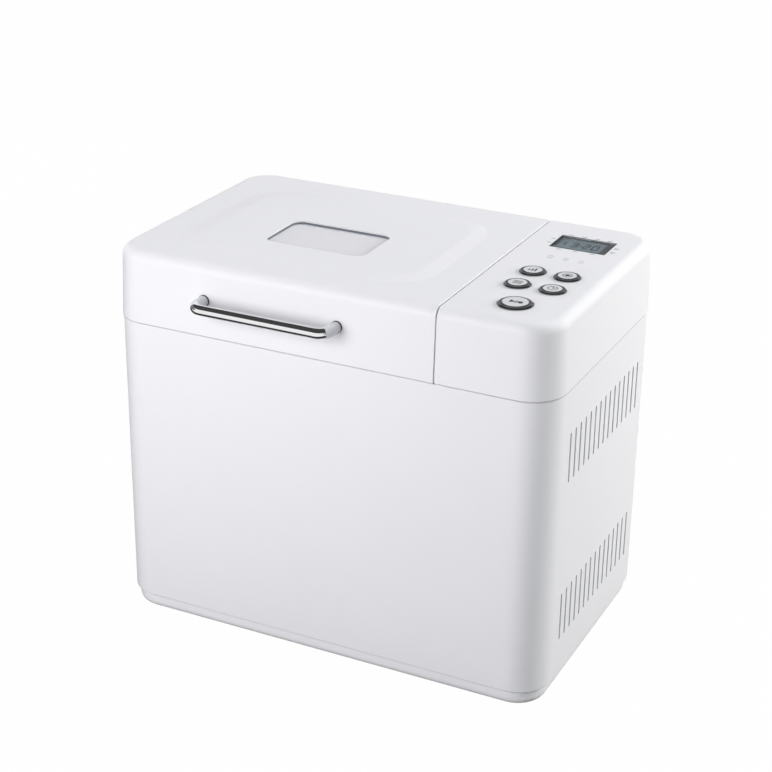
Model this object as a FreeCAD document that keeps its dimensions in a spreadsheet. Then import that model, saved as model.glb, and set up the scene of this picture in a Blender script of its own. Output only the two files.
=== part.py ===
import FreeCAD, Part
import math
import os
from types import SimpleNamespace

import Sketcher
from FreeCAD import Placement, Rotation, Vector

# Driving dimensions in millimetres, one cell each
DRIVING_SIZES = {
    # Casing, base and feet
    "casing_width": 350.0,
    "casing_depth": 218.0,
    "casing_height": 229.1,
    "casing_corner": 26.0,
    "casing_wall": 2.5,
    "casing_edge": 0.8,
    "base_height": 12.9,
    "base_spigot": 9.0,
    "base_wall": 2.5,
    "base_floor": 3.0,
    "base_edge": 6.0,
    "base_notch_start": 28.0,
    "base_notch_end": 80.0,
    "base_notch_height": 3.5,
    "base_notch_depth": 5.0,
    "foot_reach": 2.0,
    "foot_diameter": 18.0,
    "foot_depth": 2.0,
    "foot_inset": 36.0,
    "foot_edge": 0.5,
    "boss_inset": 20.0,
    "boss_diameter": 9.0,
    "boss_height": 30.0,
    "boss_rib": 3.0,
    "screw_shank": 3.0,
    "screw_head": 6.0,
    "screw_head_height": 2.2,
    "screw_dome": 1.2,
    "recess_length": 3.2,
    "recess_width": 0.8,
    "recess_depth": 1.3,
    "screw_grip": 12.0,
    "floor_slot_length": 44.0,
    "floor_slot_width": 4.0,
    "floor_slot_pitch": 10.0,
    # Vents in the right side
    "vent_margin": 38.3,
    "vent_length": 38.5,
    "vent_width": 2.6,
    "vent_shift": 2.5,
    "vent_low_start": 28.0,
    "vent_high_drop": 34.6,
    # Lid and control housing
    "lid_height": 54.3,
    "lid_gap": 1.2,
    "lid_overhang": 0.7,
    "lid_draft": 2.1,
    "lid_edge": 8.0,
    "lid_wall": 2.5,
    "control_width": 86.3,
    "split_gap": 1.4,
    "split_edge": 0.5,
    "feature_shift": 3.8,
    "plateau_side_gap": 29.4,
    "plateau_front_gap": 33.7,
    "plateau_shift": 5.0,
    "plateau_height": 1.4,
    "plateau_slope": 13.0,
    "plateau_corner": 36.0,
    "plateau_blend": 20.0,
    "window_width": 82.0,
    "window_depth": 53.0,
    "window_corner": 9.0,
    "window_shift": 19.0,
    "window_wall": 2.4,
    "pane_lap": 5.0,
    "pane_thickness": 3.0,
    "liner_gap": 6.0,
    "liner_sheet": 1.5,
    "liner_rise": 2.4,
    "liner_headroom": 13.5,
    "liner_corner": 30.0,
    "lid_boss_diameter": 7.0,
    # Handle
    "handle_span": 107.0,
    "handle_diameter": 8.0,
    "handle_reach": 17.0,
    "handle_rise": 27.1,
    "handle_bend": 8.0,
    "handle_split": 50.0,
    # Hinge
    "hinge_span": 150.0,
    "hinge_offset": 6.3,
    "hinge_rise": 4.8,
    "hinge_barrel": 10.0,
    "hinge_knuckle": 14.0,
    "hinge_arm": 6.6,
    "hinge_ear": 5.0,
    "hinge_pin": 4.0,
    "hinge_plate": 2.5,
    "hinge_drop": 22.0,
    # Deck and oven
    "deck_seat": 8.0,
    "deck_ledge": 3.0,
    "deck_plate": 3.0,
    "deck_below_seam": 0.5,
    "deck_lip": 5.5,
    "deck_lip_wall": 2.0,
    "wire_mouth_width": 24.0,
    "wire_mouth_depth": 64.0,
    "wire_mouth_corner": 8.0,
    "oven_side_gap": 24.0,
    "oven_front_gap": 21.0,
    "oven_sheet": 1.2,
    "oven_corner": 26.0,
    "oven_flange": 9.0,
    "oven_edge": 5.0,
    "standoff_height": 14.5,
    "standoff_diameter": 10.0,
    "chassis_level": 57.0,
    "chassis_sheet": 1.5,
    "chassis_depth": 140.0,
    "chassis_reach": 96.0,
    "chassis_rim": 10.0,
    # Bread pan
    "pan_side_gap": 15.0,
    "pan_front_gap": 20.0,
    "pan_below_deck": 7.3,
    "pan_draft": 5.0,
    "pan_corner": 30.0,
    "pan_wall": 1.6,
    "pan_rim": 3.0,
    "pan_edge": 6.0,
    "pan_foot_diameter": 100.0,
    "pan_foot_wall": 2.0,
    "pan_foot_height": 24.7,
    "bush_diameter": 16.0,
    "bush_flange": 26.0,
    "bush_flange_height": 2.0,
    "bush_above_floor": 8.0,
    "bush_below_floor": 3.0,
    "seal_height": 2.4,
    "bail_wire": 4.5,
    "bail_bend": 7.0,
    "ear_plate": 2.0,
    "ear_width": 18.0,
    "ear_drop": 12.0,
    "ear_corner": 6.0,
    # Kneading paddle
    "paddle_gap": 1.5,
    "paddle_height": 26.0,
    "paddle_blade": 4.0,
    "paddle_hub": 22.0,
    "paddle_hub_top": 15.0,
    "paddle_hub_height": 30.0,
    "paddle_sweep": 9.0,
    # Drive
    "shaft_diameter": 8.0,
    "bearing_flange": 56.0,
    "bearing_flange_height": 4.0,
    "bearing_tube": 24.0,
    "bearing_below": 9.0,
    "bearing_above": 8.0,
    "bush_bore_wall": 3.0,
    "bush_length": 10.0,
    "coupling_diameter": 34.0,
    "coupling_disc": 5.0,
    "coupling_lug": 10.0,
    "coupling_lug_width": 7.0,
    "coupling_edge": 1.6,
    "coupling_wing": 32.0,
    "coupling_wing_height": 7.0,
    "large_pulley": 108.0,
    "small_pulley": 18.0,
    "pulley_width": 12.0,
    "pulley_lip": 1.2,
    "pulley_flange": 3.0,
    "pulley_web": 4.0,
    "pulley_hub": 24.0,
    "pulley_hole": 27.0,
    "pulley_gap": 9.0,
    "pulley_nut": 13.0,
    "pulley_nut_height": 5.0,
    "belt_thickness": 1.8,
    # Motor
    "stator_side": 72.0,
    "stator_height": 34.0,
    "stator_corner": 12.0,
    "rotor_diameter": 40.0,
    "rotor_gap": 0.6,
    "bell_height": 21.0,
    "bell_wall": 3.0,
    "bell_diameter": 66.0,
    "bell_foot": 6.0,
    "capacitor_diameter": 26.0,
    "capacitor_height": 46.0,
    "capacitor_side": 55.0,
    "capacitor_edge": 3.0,
    # Heater and oven fittings
    "heater_tube": 7.0,
    "heater_side_gap": 9.0,
    "heater_front_gap": 11.0,
    "heater_level": 18.0,
    "heater_bend": 24.0,
    "heater_tail": 16.0,
    "heater_tail_spread": 24.0,
    "heater_tail_bend": 5.1,
    "heater_clip_width": 8.0,
    "heater_clip_sheet": 4.0,
    "clip_sheet": 1.0,
    "clip_width": 20.0,
    "clip_height": 18.0,
    "clip_foot": 12.0,
    "sensor_diameter": 5.0,
    "sensor_reach": 9.0,
    "sensor_nut": 12.0,
    "sensor_level": 60.0,
    # Controls
    "small_button": 15.6,
    "large_button": 20.4,
    "small_bezel": 20.0,
    "large_bezel": 25.6,
    "bezel_height": 1.5,
    "bezel_wall": 0.8,
    "bezel_rim": 0.5,
    "button_proud": 1.9,
    "button_flange": 1.5,
    "button_flange_lap": 1.5,
    "button_travel": 1.0,
    "button_stem": 4.0,
    "button_column": 13.0,
    "start_margin": 33.5,
    "start_pitch": 35.7,
    "row_pitch": 28.5,
    "display_width": 43.0,
    "display_depth": 28.0,
    "display_margin": 50.7,
    "display_shift": 1.5,
    "display_corner": 1.5,
    "display_lap": 2.5,
    "display_flange": 1.2,
    "board_drop": 11.4,
    "board_thickness": 1.6,
    "board_margin": 8.0,
    "switch_side": 6.0,
    "switch_corner": 0.5,
    "switch_height": 3.5,
    "switch_plunger": 0.7,
    "housing_boss": 9.0,
    "housing_boss_inset": 14.5,
    "housing_boss_margin": 16.0,
    "board_boss": 6.0,
    "power_board_gap": 8.55,
    "power_board_height": 90.0,
    "power_board_level": 95.0,
    "power_board_post": 7.0,
    "power_post_inset": 13.0,
    "power_post_length": 7.0,
    "transformer_side": 30.0,
    "relay_width": 19.0,
    "relay_height": 26.0,
    "coil_diameter": 15.0,
    "coil_length": 25.0,
    "component_row": 19.0,
    "relay_row": 28.0,
    # Cord gland
    "gland_flange": 20.0,
    "gland_body": 15.6,
    "gland_entry": 9.2,
    "gland_bore": 7.2,
    "gland_proud": 3.0,
    "gland_inside": 3.0,
    "gland_sleeve": 6.5,
    "gland_sleeve_diameter": 10.8,
    "gland_rib": 13.0,
    "gland_rib_width": 1.2,
    "gland_level": 26.0,
    "gland_inset": 45.0,
    # Clearances
    "seat_gap": 0.3,
    "run_gap": 0.05,
    "press_gap": 0.02,
}

TOLERANCE = 1e-3


class Size:
    """A number that carries the sheet expression that gives it."""

    def __init__(self, text, value):
        self.text = text
        self.value = value

    def __add__(self, other):
        other = as_size(other)
        return Size(f"({self.text} + {other.text})", self.value + other.value)

    def __sub__(self, other):
        other = as_size(other)
        return Size(f"({self.text} - {other.text})", self.value - other.value)

    def __mul__(self, other):
        other = as_size(other)
        return Size(f"({self.text} * {other.text})", self.value * other.value)

    def __truediv__(self, other):
        other = as_size(other)
        return Size(f"({self.text} / {other.text})", self.value / other.value)

    def __neg__(self):
        return Size(f"(-{self.text})", -self.value)

    def __rsub__(self, other):
        return as_size(other) - self

    __radd__ = __add__
    __rmul__ = __mul__


def as_size(number):
    if isinstance(number, Size):
        return number
    return Size(f"{number:.6f}", float(number))


def bind(target, path, number):
    target.setExpression(path, as_size(number).text)


def taper_angle(draft, height):
    """The angle that draws a wall in by draft over height."""
    angle = math.degrees(math.atan(draft.value / height.value))
    return Size(f"(-atan({draft.text} / {height.text}))", -angle)


# The document and its sheet of driving dimensions
doc = FreeCAD.newDocument("bread_machine")
sheet = doc.addObject("Spreadsheet::Sheet", "Sizes")
for row, (alias, number) in enumerate(DRIVING_SIZES.items(), start=1):
    sheet.set(f"A{row}", alias)
    sheet.set(f"B{row}", str(number))
    sheet.setAlias(f"B{row}", alias)
doc.recompute()
s = SimpleNamespace(**{alias: Size(f"Sizes.{alias}", number) for alias, number in DRIVING_SIZES.items()})
nodes = []

# Levels and centre lines that the pieces share
casing_foot = s.foot_reach + s.base_height
seam = casing_foot + s.casing_height
lid_foot = seam + s.lid_gap
lid_top = lid_foot + s.lid_height
plateau_top = lid_top + s.plateau_height
split = s.casing_width / 2 - s.control_width
lid_left = -s.casing_width / 2 - s.lid_overhang
lid_right = split - s.split_gap / 2
lid_x = (lid_left + lid_right) / 2
lid_depth = s.casing_depth + 2 * s.lid_overhang
plateau_width = lid_right - lid_left - 2 * s.plateau_side_gap
plateau_depth = lid_depth - 2 * s.plateau_front_gap
feature_x = lid_x + s.feature_shift
housing_left = split + s.split_gap / 2
housing_right = s.casing_width / 2 + s.lid_overhang
housing_x = (housing_left + housing_right) / 2
lid_front = -lid_depth / 2
oven_width = lid_right - lid_left - 2 * s.oven_side_gap
oven_depth = s.casing_depth - 2 * s.oven_front_gap
tray_top = s.foot_reach + s.base_floor
chassis_top = tray_top + s.chassis_level + s.chassis_sheet
oven_floor = chassis_top + s.standoff_height
oven_inside = oven_floor + s.oven_sheet
deck_foot = seam - s.deck_seat
deck_top = seam - s.deck_below_seam
deck_under = deck_top - s.deck_plate
motor_x = (lid_x + oven_width / 2 + s.casing_width / 2) / 2
pan_floor = oven_inside + s.seat_gap + s.pan_foot_height
pan_top = deck_top - s.pan_below_deck
pan_height = pan_top - pan_floor
pan_width = oven_width - 2 * s.pan_side_gap
pan_depth = oven_depth - 2 * s.pan_front_gap
hinge_y = s.casing_depth / 2 + s.lid_overhang + s.hinge_offset
hinge_z = lid_foot + s.hinge_rise

# The handle reaches further forward than the hinge reaches back: the whole object stands centred on its box
handle_front = s.handle_reach + s.handle_diameter / 2
hinge_back = s.hinge_offset + s.hinge_barrel / 2
frame_shift = (handle_front - hinge_back) / 2


# Sketch and feature steps that the pieces share
def new_body(label, x=0, y=0, z=0):
    body = doc.addObject("PartDesign::Body", label)
    body.Label = label
    for axis, place in (("x", x), ("y", y + frame_shift), ("z", z)):
        bind(body, f"Placement.Base.{axis}", place)
    nodes.append(body)
    return body


def origin_feature(body, role):
    return next(part for part in body.Origin.OriginFeatures if part.Role == role)


def new_sketch(body, plane, x=0, y=0, z=0):
    sketch = body.newObject("Sketcher::SketchObject", f"{body.Label}_sketch")
    sketch.AttachmentSupport = [(origin_feature(body, f"{plane}_Plane"), "")]
    sketch.MapMode = "FlatFace"
    local = {"XY": (x, y, z), "XZ": (x, z, -y), "YZ": (y, z, x)}[plane]
    for axis, place in zip("xyz", local):
        bind(sketch, f"AttachmentOffset.Base.{axis}", place)
    return sketch


def dimension(sketch, kind, refs, number):
    number = as_size(number)
    index = sketch.addConstraint(Sketcher.Constraint(kind, *refs, number.value))
    sketch.renameConstraint(index, f"size_{index}")
    bind(sketch, f"Constraints.size_{index}", number)


def pin_point(sketch, geometry, point, u, v):
    """Ties a point of the sketch to its place."""
    for kind, axis, place in (("DistanceX", -2, u), ("DistanceY", -1, v)):
        place = as_size(place)
        if abs(place.value) < TOLERANCE:
            sketch.addConstraint(Sketcher.Constraint("PointOnObject", geometry, point, axis))
        else:
            dimension(sketch, kind, (-1, 1, geometry, point), place)


def rounded(sketch, width, depth, corner, u=0, v=0):
    """A rectangle with equal round corners, centred on u, v."""
    first = sketch.GeometryCount
    half_w, half_d, r = as_size(width).value / 2, as_size(depth).value / 2, as_size(corner).value
    mid = Vector(as_size(u).value, as_size(v).value, 0)
    inner_w, inner_d = half_w - r, half_d - r
    ends = [
        ((-inner_w, -half_d), (inner_w, -half_d)),
        ((half_w, -inner_d), (half_w, inner_d)),
        ((inner_w, half_d), (-inner_w, half_d)),
        ((-half_w, inner_d), (-half_w, -inner_d)),
    ]
    for start, end in ends:
        sketch.addGeometry(Part.LineSegment(mid + Vector(*start, 0), mid + Vector(*end, 0)))
    for turn, (side_u, side_v) in enumerate(((1, -1), (1, 1), (-1, 1), (-1, -1))):
        centre = mid + Vector(side_u * inner_w, side_v * inner_d, 0)
        start = math.radians(90 * turn - 90)
        circle = Part.Circle(centre, Vector(0, 0, 1), r)
        sketch.addGeometry(Part.ArcOfCircle(circle, start, start + math.pi / 2))
    for side in range(4):
        arc = first + 4 + side
        sketch.addConstraint(Sketcher.Constraint("Tangent", first + side, 2, arc, 1))
        sketch.addConstraint(Sketcher.Constraint("Tangent", arc, 2, first + (side + 1) % 4, 1))
        sketch.addConstraint(Sketcher.Constraint("Vertical" if side % 2 else "Horizontal", first + side))
    for arc in (5, 6, 7):
        sketch.addConstraint(Sketcher.Constraint("Equal", first + 4, first + arc))
    dimension(sketch, "Radius", (first + 4,), corner)
    dimension(sketch, "DistanceX", (first + 3, 1, first + 1, 1), width)
    dimension(sketch, "DistanceY", (first, 1, first + 2, 1), depth)
    dimension(sketch, "DistanceX", (-1, 1, first + 3, 1), u - as_size(width) / 2)
    dimension(sketch, "DistanceY", (-1, 1, first, 1), v - as_size(depth) / 2)


def round_hole(sketch, diameter, u=0, v=0):
    centre = Vector(as_size(u).value, as_size(v).value, 0)
    index = sketch.addGeometry(Part.Circle(centre, Vector(0, 0, 1), as_size(diameter).value / 2))
    dimension(sketch, "Diameter", (index,), diameter)
    pin_point(sketch, index, 3, u, v)


def outline(sketch, points):
    """A closed outline of straight sides through the points."""
    first, count = sketch.GeometryCount, len(points)
    corners = [Vector(as_size(u).value, as_size(v).value, 0) for u, v in points]
    for index in range(count):
        sketch.addGeometry(Part.LineSegment(corners[index], corners[(index + 1) % count]))
    for index in range(count):
        following = first + (index + 1) % count
        sketch.addConstraint(Sketcher.Constraint("Coincident", first + index, 2, following, 1))
    for index, (u, v) in enumerate(points):
        pin_point(sketch, first + index, 1, u, v)


def rectangle(sketch, u_low, u_high, v_low, v_high):
    outline(sketch, [(u_low, v_low), (u_high, v_low), (u_high, v_high), (u_low, v_high)])


def add_feature(body, kind, sketch):
    feature = body.newObject(f"PartDesign::{kind}", f"{body.Label}_{kind.lower()}")
    feature.Profile = (sketch, [""])
    return feature


def pad(body, sketch, length, taper=None, back=False):
    feature = add_feature(body, "Pad", sketch)
    bind(feature, "Length", length)
    feature.Reversed = back
    if taper is not None:
        bind(feature, "TaperAngle", taper)
    return feature


def pocket(body, sketch, length, taper=None, back=False):
    feature = add_feature(body, "Pocket", sketch)
    bind(feature, "Length", length)
    feature.Reversed = back
    if taper is not None:
        bind(feature, "TaperAngle", taper)
    return feature


def revolve(body, sketch):
    """Turns the sketch round its own upright axis."""
    feature = add_feature(body, "Revolution", sketch)
    feature.ReferenceAxis = (sketch, ["V_Axis"])
    feature.Angle = 360
    return feature


def soften(body, radius, pick, kind="Fillet"):
    """Rounds or chamfers the edges of the body that pick chooses."""
    doc.recompute()
    base = body.Tip
    edges = [f"Edge{index}" for index, edge in enumerate(base.Shape.Edges, start=1) if pick(edge)]
    if not edges:
        raise RuntimeError(f"no edge to soften on {body.Label}")
    feature = body.newObject(f"PartDesign::{kind}", f"{body.Label}_{kind.lower()}")
    feature.Base = (base, edges)
    bind(feature, "Radius" if kind == "Fillet" else "Size", radius)
    return feature


def at_level(z):
    """Picks the edges that lie flat at height z."""
    height = as_size(z).value

    def pick(edge):
        box = edge.BoundBox
        return abs(box.ZMin - height) < TOLERANCE and abs(box.ZMax - height) < TOLERANCE

    return pick


def repeat(body, feature, role, extent, count):
    pattern = body.newObject("PartDesign::LinearPattern", f"{body.Label}_row")
    pattern.Originals = [feature]
    pattern.Direction = (origin_feature(body, role), [""])
    bind(pattern, "Length", extent)
    pattern.Occurrences = count
    body.Tip = pattern
    return pattern


def around(body, feature, count):
    pattern = body.newObject("PartDesign::PolarPattern", f"{body.Label}_ring")
    pattern.Originals = [feature]
    pattern.Axis = (origin_feature(body, "Z_Axis"), [""])
    pattern.Angle = 360
    pattern.Occurrences = count
    body.Tip = pattern
    return pattern


def corners_of(half_u, half_v):
    return [(su * half_u, sv * half_v) for su in (-1, 1) for sv in (-1, 1)]


def screw_set(label, plane, axis, seat, places, grip):
    """Pan head screws with a cross recess: heads on the seat, shanks along the plane's normal."""
    body = new_body(label)
    for diameter, length, back in ((s.screw_head, s.screw_head_height, True), (s.screw_shank, grip, False)):
        sketch = new_sketch(body, plane, **{axis: seat})
        for u, v in places:
            round_hole(sketch, diameter, u, v)
        pad(body, sketch, length, back=back)
    head_face = seat - s.screw_head_height if plane == "XY" else seat + s.screw_head_height

    def head_rim(edge):
        middle = getattr(edge.CenterOfMass, axis)
        return abs(middle - head_face.value) < TOLERANCE

    soften(body, s.screw_dome, head_rim)
    for width, depth in ((s.recess_length, s.recess_width), (s.recess_width, s.recess_length)):
        sketch = new_sketch(body, plane, **{axis: head_face})
        for u, v in places:
            rectangle(sketch, u - width / 2, u + width / 2, v - depth / 2, v + depth / 2)
        pocket(body, sketch, s.recess_depth, back=True)


def bent_bar(label, corners, diameter, bends):
    """A round bar through the corners, each leg along one axis, with a round bend at each corner."""
    pieces = []
    last = len(corners) - 2
    ways = []
    for start, end in zip(corners, corners[1:]):
        steps = [as_size(b - a) for a, b in zip(start, end)]
        axis = max(range(3), key=lambda i: abs(steps[i].value))
        sign = 1 if steps[axis].value > 0 else -1
        ways.append((axis, sign, steps[axis] * sign))
    for index, (axis, sign, length) in enumerate(ways):
        lead = bends[index - 1] if index > 0 else as_size(0)
        tail = bends[index] if index < last else as_size(0)
        way = Vector(*[sign if i == axis else 0 for i in range(3)])
        leg = doc.addObject("Part::Cylinder", f"{label}_leg")
        bind(leg, "Radius", diameter / 2)
        bind(leg, "Height", length - lead - tail)
        leg.Placement = Placement(Vector(), Rotation(Vector(0, 0, 1), way))
        for i, name in enumerate("xyz"):
            place = corners[index][i] + lead * sign if i == axis else corners[index][i]
            bind(leg, f"Placement.Base.{name}", place)
        pieces.append(leg)
        if index < last:
            next_axis, next_sign, _ = ways[index + 1]
            onward = Vector(*[next_sign if i == next_axis else 0 for i in range(3)])
            bend = doc.addObject("Part::Torus", f"{label}_bend")
            bind(bend, "Radius1", bends[index])
            bind(bend, "Radius2", diameter / 2)
            bend.Angle3 = 90
            bend.Placement = Placement(Vector(), Rotation(-onward, way, (-onward).cross(way), "XYZ"))
            for i, name in enumerate("xyz"):
                shift = bends[index] * (onward[i] - way[i])
                bind(bend, f"Placement.Base.{name}", corners[index + 1][i] + shift)
            pieces.append(bend)
    bar = doc.addObject("Part::MultiFuse", label)
    bar.Shapes = pieces
    return place_node(bar, label)


def place_node(item, label):
    item.Label = label
    bind(item, "Placement.Base.y", frame_shift)
    nodes.append(item)
    return item


# Base tray: a shallow moulded tray that closes the casing from below
tray_inset = s.casing_wall + s.seat_gap
tray_width = s.casing_width - 2 * tray_inset
tray_depth = s.casing_depth - 2 * tray_inset
tray_corner = s.casing_corner - tray_inset
tray_rim = s.base_height + s.base_spigot
boss_places = corners_of(s.casing_width / 2 - s.boss_inset, s.casing_depth / 2 - s.boss_inset)
foot_places = corners_of(s.casing_width / 2 - s.foot_inset, s.casing_depth / 2 - s.foot_inset)
chassis_left = lid_x - s.chassis_reach
chassis_right = motor_x + s.stator_side / 2 + s.bell_foot
chassis_posts = [
    (x, side * (s.chassis_depth / 2 - s.standoff_diameter))
    for x in (chassis_left + s.standoff_diameter, chassis_right - s.standoff_diameter)
    for side in (-1, 1)
]
screw_pilot = s.screw_shank + 2 * s.press_gap
base_screw_seat = tray_top + s.screw_head_height

base_tray = new_body("base_tray")
shape = new_sketch(base_tray, "XY", z=s.foot_reach)
rounded(shape, tray_width, tray_depth, tray_corner)
pad(base_tray, shape, tray_rim)
soften(base_tray, s.base_edge, at_level(s.foot_reach))
shape = new_sketch(base_tray, "XY", z=s.foot_reach + tray_rim)
rounded(shape, tray_width - 2 * s.base_wall, tray_depth - 2 * s.base_wall, tray_corner - s.base_wall)
pocket(base_tray, shape, tray_rim - s.base_floor)
shape = new_sketch(base_tray, "XY", z=s.foot_reach + s.base_floor / 2)
for u, v in boss_places:
    round_hole(shape, s.boss_diameter, u, v)
pad(base_tray, shape, tray_rim - s.base_floor / 2)
shape = new_sketch(base_tray, "XY", z=s.foot_reach + s.base_floor / 2)
for u, v in chassis_posts:
    round_hole(shape, s.standoff_diameter, u, v)
pad(base_tray, shape, s.chassis_level + s.base_floor / 2)
shape = new_sketch(base_tray, "XY", z=s.foot_reach)
for u, v in boss_places:
    round_hole(shape, s.screw_head + 2 * s.seat_gap, u, v)
pocket(base_tray, shape, base_screw_seat - s.foot_reach, back=True)
shape = new_sketch(base_tray, "XY", z=s.foot_reach)
for u, v in boss_places:
    round_hole(shape, screw_pilot, u, v)
pocket(base_tray, shape, tray_rim, back=True)
shape = new_sketch(base_tray, "XY", z=s.foot_reach)
for u, v in foot_places:
    round_hole(shape, s.foot_diameter + 2 * s.press_gap, u, v)
pocket(base_tray, shape, s.foot_depth, back=True)
# Cooling slots below the motor
floor_slots = 5
slot_span = s.floor_slot_pitch * (floor_slots - 1)
slot_end = s.floor_slot_width / 2 - s.press_gap
shape = new_sketch(base_tray, "XY", z=s.foot_reach)
rounded(shape, s.floor_slot_width, s.floor_slot_length, slot_end, motor_x - slot_span / 2)
slot = pocket(base_tray, shape, s.base_floor, back=True)
repeat(base_tray, slot, "X_Axis", slot_span, floor_slots)
# Shallow hand recesses along both sides
for side in (-1, 1):
    shape = new_sketch(base_tray, "YZ", x=side * tray_width / 2)
    rectangle(
        shape, -s.base_notch_start, s.base_notch_end, s.foot_reach - s.base_floor,
        s.foot_reach + s.base_notch_height,
    )
    pocket(base_tray, shape, s.base_notch_depth, back=side < 0)

# Rubber feet pressed into the tray
rubber_feet = new_body("rubber_feet")
shape = new_sketch(rubber_feet, "XY")
for u, v in foot_places:
    round_hole(shape, s.foot_diameter, u, v)
pad(rubber_feet, shape, s.foot_reach + s.foot_depth)
soften(rubber_feet, s.foot_edge, at_level(0))

# Outer casing: one moulded wall round the machine, with a ledge inside its mouth for the deck
inner_width = s.casing_width - 2 * s.casing_wall
inner_depth = s.casing_depth - 2 * s.casing_wall
inner_corner = s.casing_corner - s.casing_wall
casing = new_body("outer_casing")
shape = new_sketch(casing, "XY", z=casing_foot)
rounded(shape, s.casing_width, s.casing_depth, s.casing_corner)
pad(casing, shape, s.casing_height)
soften(casing, s.casing_edge, lambda edge: at_level(casing_foot)(edge) or at_level(seam)(edge))
shape = new_sketch(casing, "XY", z=seam)
rounded(shape, inner_width, inner_depth, inner_corner)
pocket(casing, shape, s.deck_seat)
shape = new_sketch(casing, "XY", z=deck_foot)
rounded(
    shape, inner_width - 2 * s.deck_ledge, inner_depth - 2 * s.deck_ledge, inner_corner - s.deck_ledge
)
pocket(casing, shape, s.deck_ledge)
shape = new_sketch(casing, "XY", z=casing_foot)
rounded(shape, inner_width, inner_depth, inner_corner)
pocket(casing, shape, s.casing_height - s.deck_seat - s.deck_ledge, back=True)
# Screw bosses in the lower corners, each tied to the wall by a rib
boss_foot = s.foot_reach + tray_rim
shape = new_sketch(casing, "XY", z=boss_foot)
for u, v in boss_places:
    round_hole(shape, s.boss_diameter, u, v)
pad(casing, shape, s.boss_height)
for side in (-1, 1):
    for end in (-1, 1):
        shape = new_sketch(casing, "XY", z=boss_foot)
        near = side * (s.casing_width / 2 - s.boss_inset)
        far = side * (s.casing_width / 2 - s.casing_wall / 2)
        middle = end * (s.casing_depth / 2 - s.boss_inset)
        low, high = (near, far) if side > 0 else (far, near)
        rectangle(shape, low, high, middle - s.boss_rib / 2, middle + s.boss_rib / 2)
        pad(casing, shape, s.boss_height)
shape = new_sketch(casing, "XY", z=boss_foot)
for u, v in boss_places:
    round_hole(shape, screw_pilot, u, v)
pocket(casing, shape, s.boss_height, back=True)
# Vent slots in the right side
vent_count = 15
vent_span = s.casing_depth - 2 * s.vent_margin
vent_end = s.vent_width / 2 - s.press_gap
for start in (s.vent_low_start, s.casing_height - s.vent_high_drop - s.vent_length):
    shape = new_sketch(casing, "YZ", x=s.casing_width / 2)
    middle = casing_foot + start + s.vent_length / 2
    rounded(shape, s.vent_width, s.vent_length, vent_end, s.vent_shift - vent_span / 2, middle)
    slot = pocket(casing, shape, s.casing_wall * 2)
    repeat(casing, slot, "Y_Axis", vent_span, vent_count)
# Hole for the cord gland and posts for the power board on the rear wall
gland_x = s.casing_width / 2 - s.gland_inset
gland_z = casing_foot + s.gland_level
rear_wall = s.casing_depth / 2
rear_inside = rear_wall - s.casing_wall
side_inside = s.casing_width / 2 - s.casing_wall
board_x = (housing_left + side_inside) / 2
board_width = side_inside - housing_left - 2 * s.power_board_gap
board_z = casing_foot + s.power_board_level + s.power_board_height / 2
board_posts = [
    (board_x + u, board_z + v)
    for u, v in corners_of(
        board_width / 2 - s.power_post_inset, s.power_board_height / 2 - s.power_board_post
    )
]
shape = new_sketch(casing, "XZ", y=rear_inside - s.casing_wall)
round_hole(shape, s.gland_body + 2 * s.press_gap, gland_x, gland_z)
pocket(casing, shape, s.casing_wall * 3)
shape = new_sketch(casing, "XZ", y=rear_inside + s.casing_wall / 2)
for u, v in board_posts:
    round_hole(shape, s.power_board_post, u, v)
pad(casing, shape, s.power_post_length + s.casing_wall / 2)

# Cord gland: a flanged bush with a groove that holds the rear wall, and a ribbed sleeve that grips the cord
gland_start = rear_inside - s.gland_inside
gland_neck = rear_wall + s.gland_proud / 2
sleeve_start = rear_wall + s.gland_proud
sleeve_end = sleeve_start + s.gland_sleeve
rib_count = 3
rib_ends = [sleeve_start + s.gland_sleeve * step / rib_count for step in range(1, rib_count + 1)]
gland = new_body("cord_gland")
for near, far, diameter in (
    (gland_start, rear_inside, s.gland_flange),
    (gland_start, gland_neck, s.gland_body),
    (rear_wall, sleeve_start, s.gland_flange),
    (gland_neck, sleeve_end, s.gland_sleeve_diameter),
    *((rib_end - s.gland_rib_width, rib_end, s.gland_rib) for rib_end in rib_ends),
):
    shape = new_sketch(gland, "XZ", y=near)
    round_hole(shape, diameter, gland_x, gland_z)
    pad(gland, shape, far - near, back=True)
for near, far, diameter in (
    (gland_start, gland_neck, s.gland_entry),
    (gland_neck, sleeve_end, s.gland_bore),
):
    shape = new_sketch(gland, "XZ", y=near)
    round_hole(shape, diameter, gland_x, gland_z)
    pocket(gland, shape, far - near)

# Top deck: the moulded frame round the oven mouth, seated on the casing's ledge
mouth_width = oven_width + 2 * s.seat_gap
mouth_depth = oven_depth + 2 * s.seat_gap
mouth_corner = s.oven_corner + s.seat_gap
deck_width = inner_width - 2 * s.seat_gap
deck_depth = inner_depth - 2 * s.seat_gap
deck_corner = inner_corner - s.seat_gap
housing_screws = [
    (housing_x + u, v)
    for u, v in corners_of(
        s.control_width / 2 - s.housing_boss_inset, s.casing_depth / 2 - s.housing_boss_margin
    )
]
deck = new_body("top_deck")
shape = new_sketch(deck, "XY", z=deck_foot)
rounded(shape, deck_width, deck_depth, deck_corner)
pad(deck, shape, deck_top - deck_foot)
shape = new_sketch(deck, "XY", z=deck_foot)
rounded(shape, deck_width - 2 * s.deck_ledge, deck_depth - 2 * s.deck_ledge, deck_corner - s.deck_ledge)
pocket(deck, shape, deck_under - deck_foot, back=True)
shape = new_sketch(deck, "XY", z=deck_top - s.deck_plate / 2)
rounded(
    shape, mouth_width + 2 * s.deck_lip_wall, mouth_depth + 2 * s.deck_lip_wall,
    mouth_corner + s.deck_lip_wall, lid_x,
)
pad(deck, shape, s.deck_lip + s.deck_plate / 2)
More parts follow.
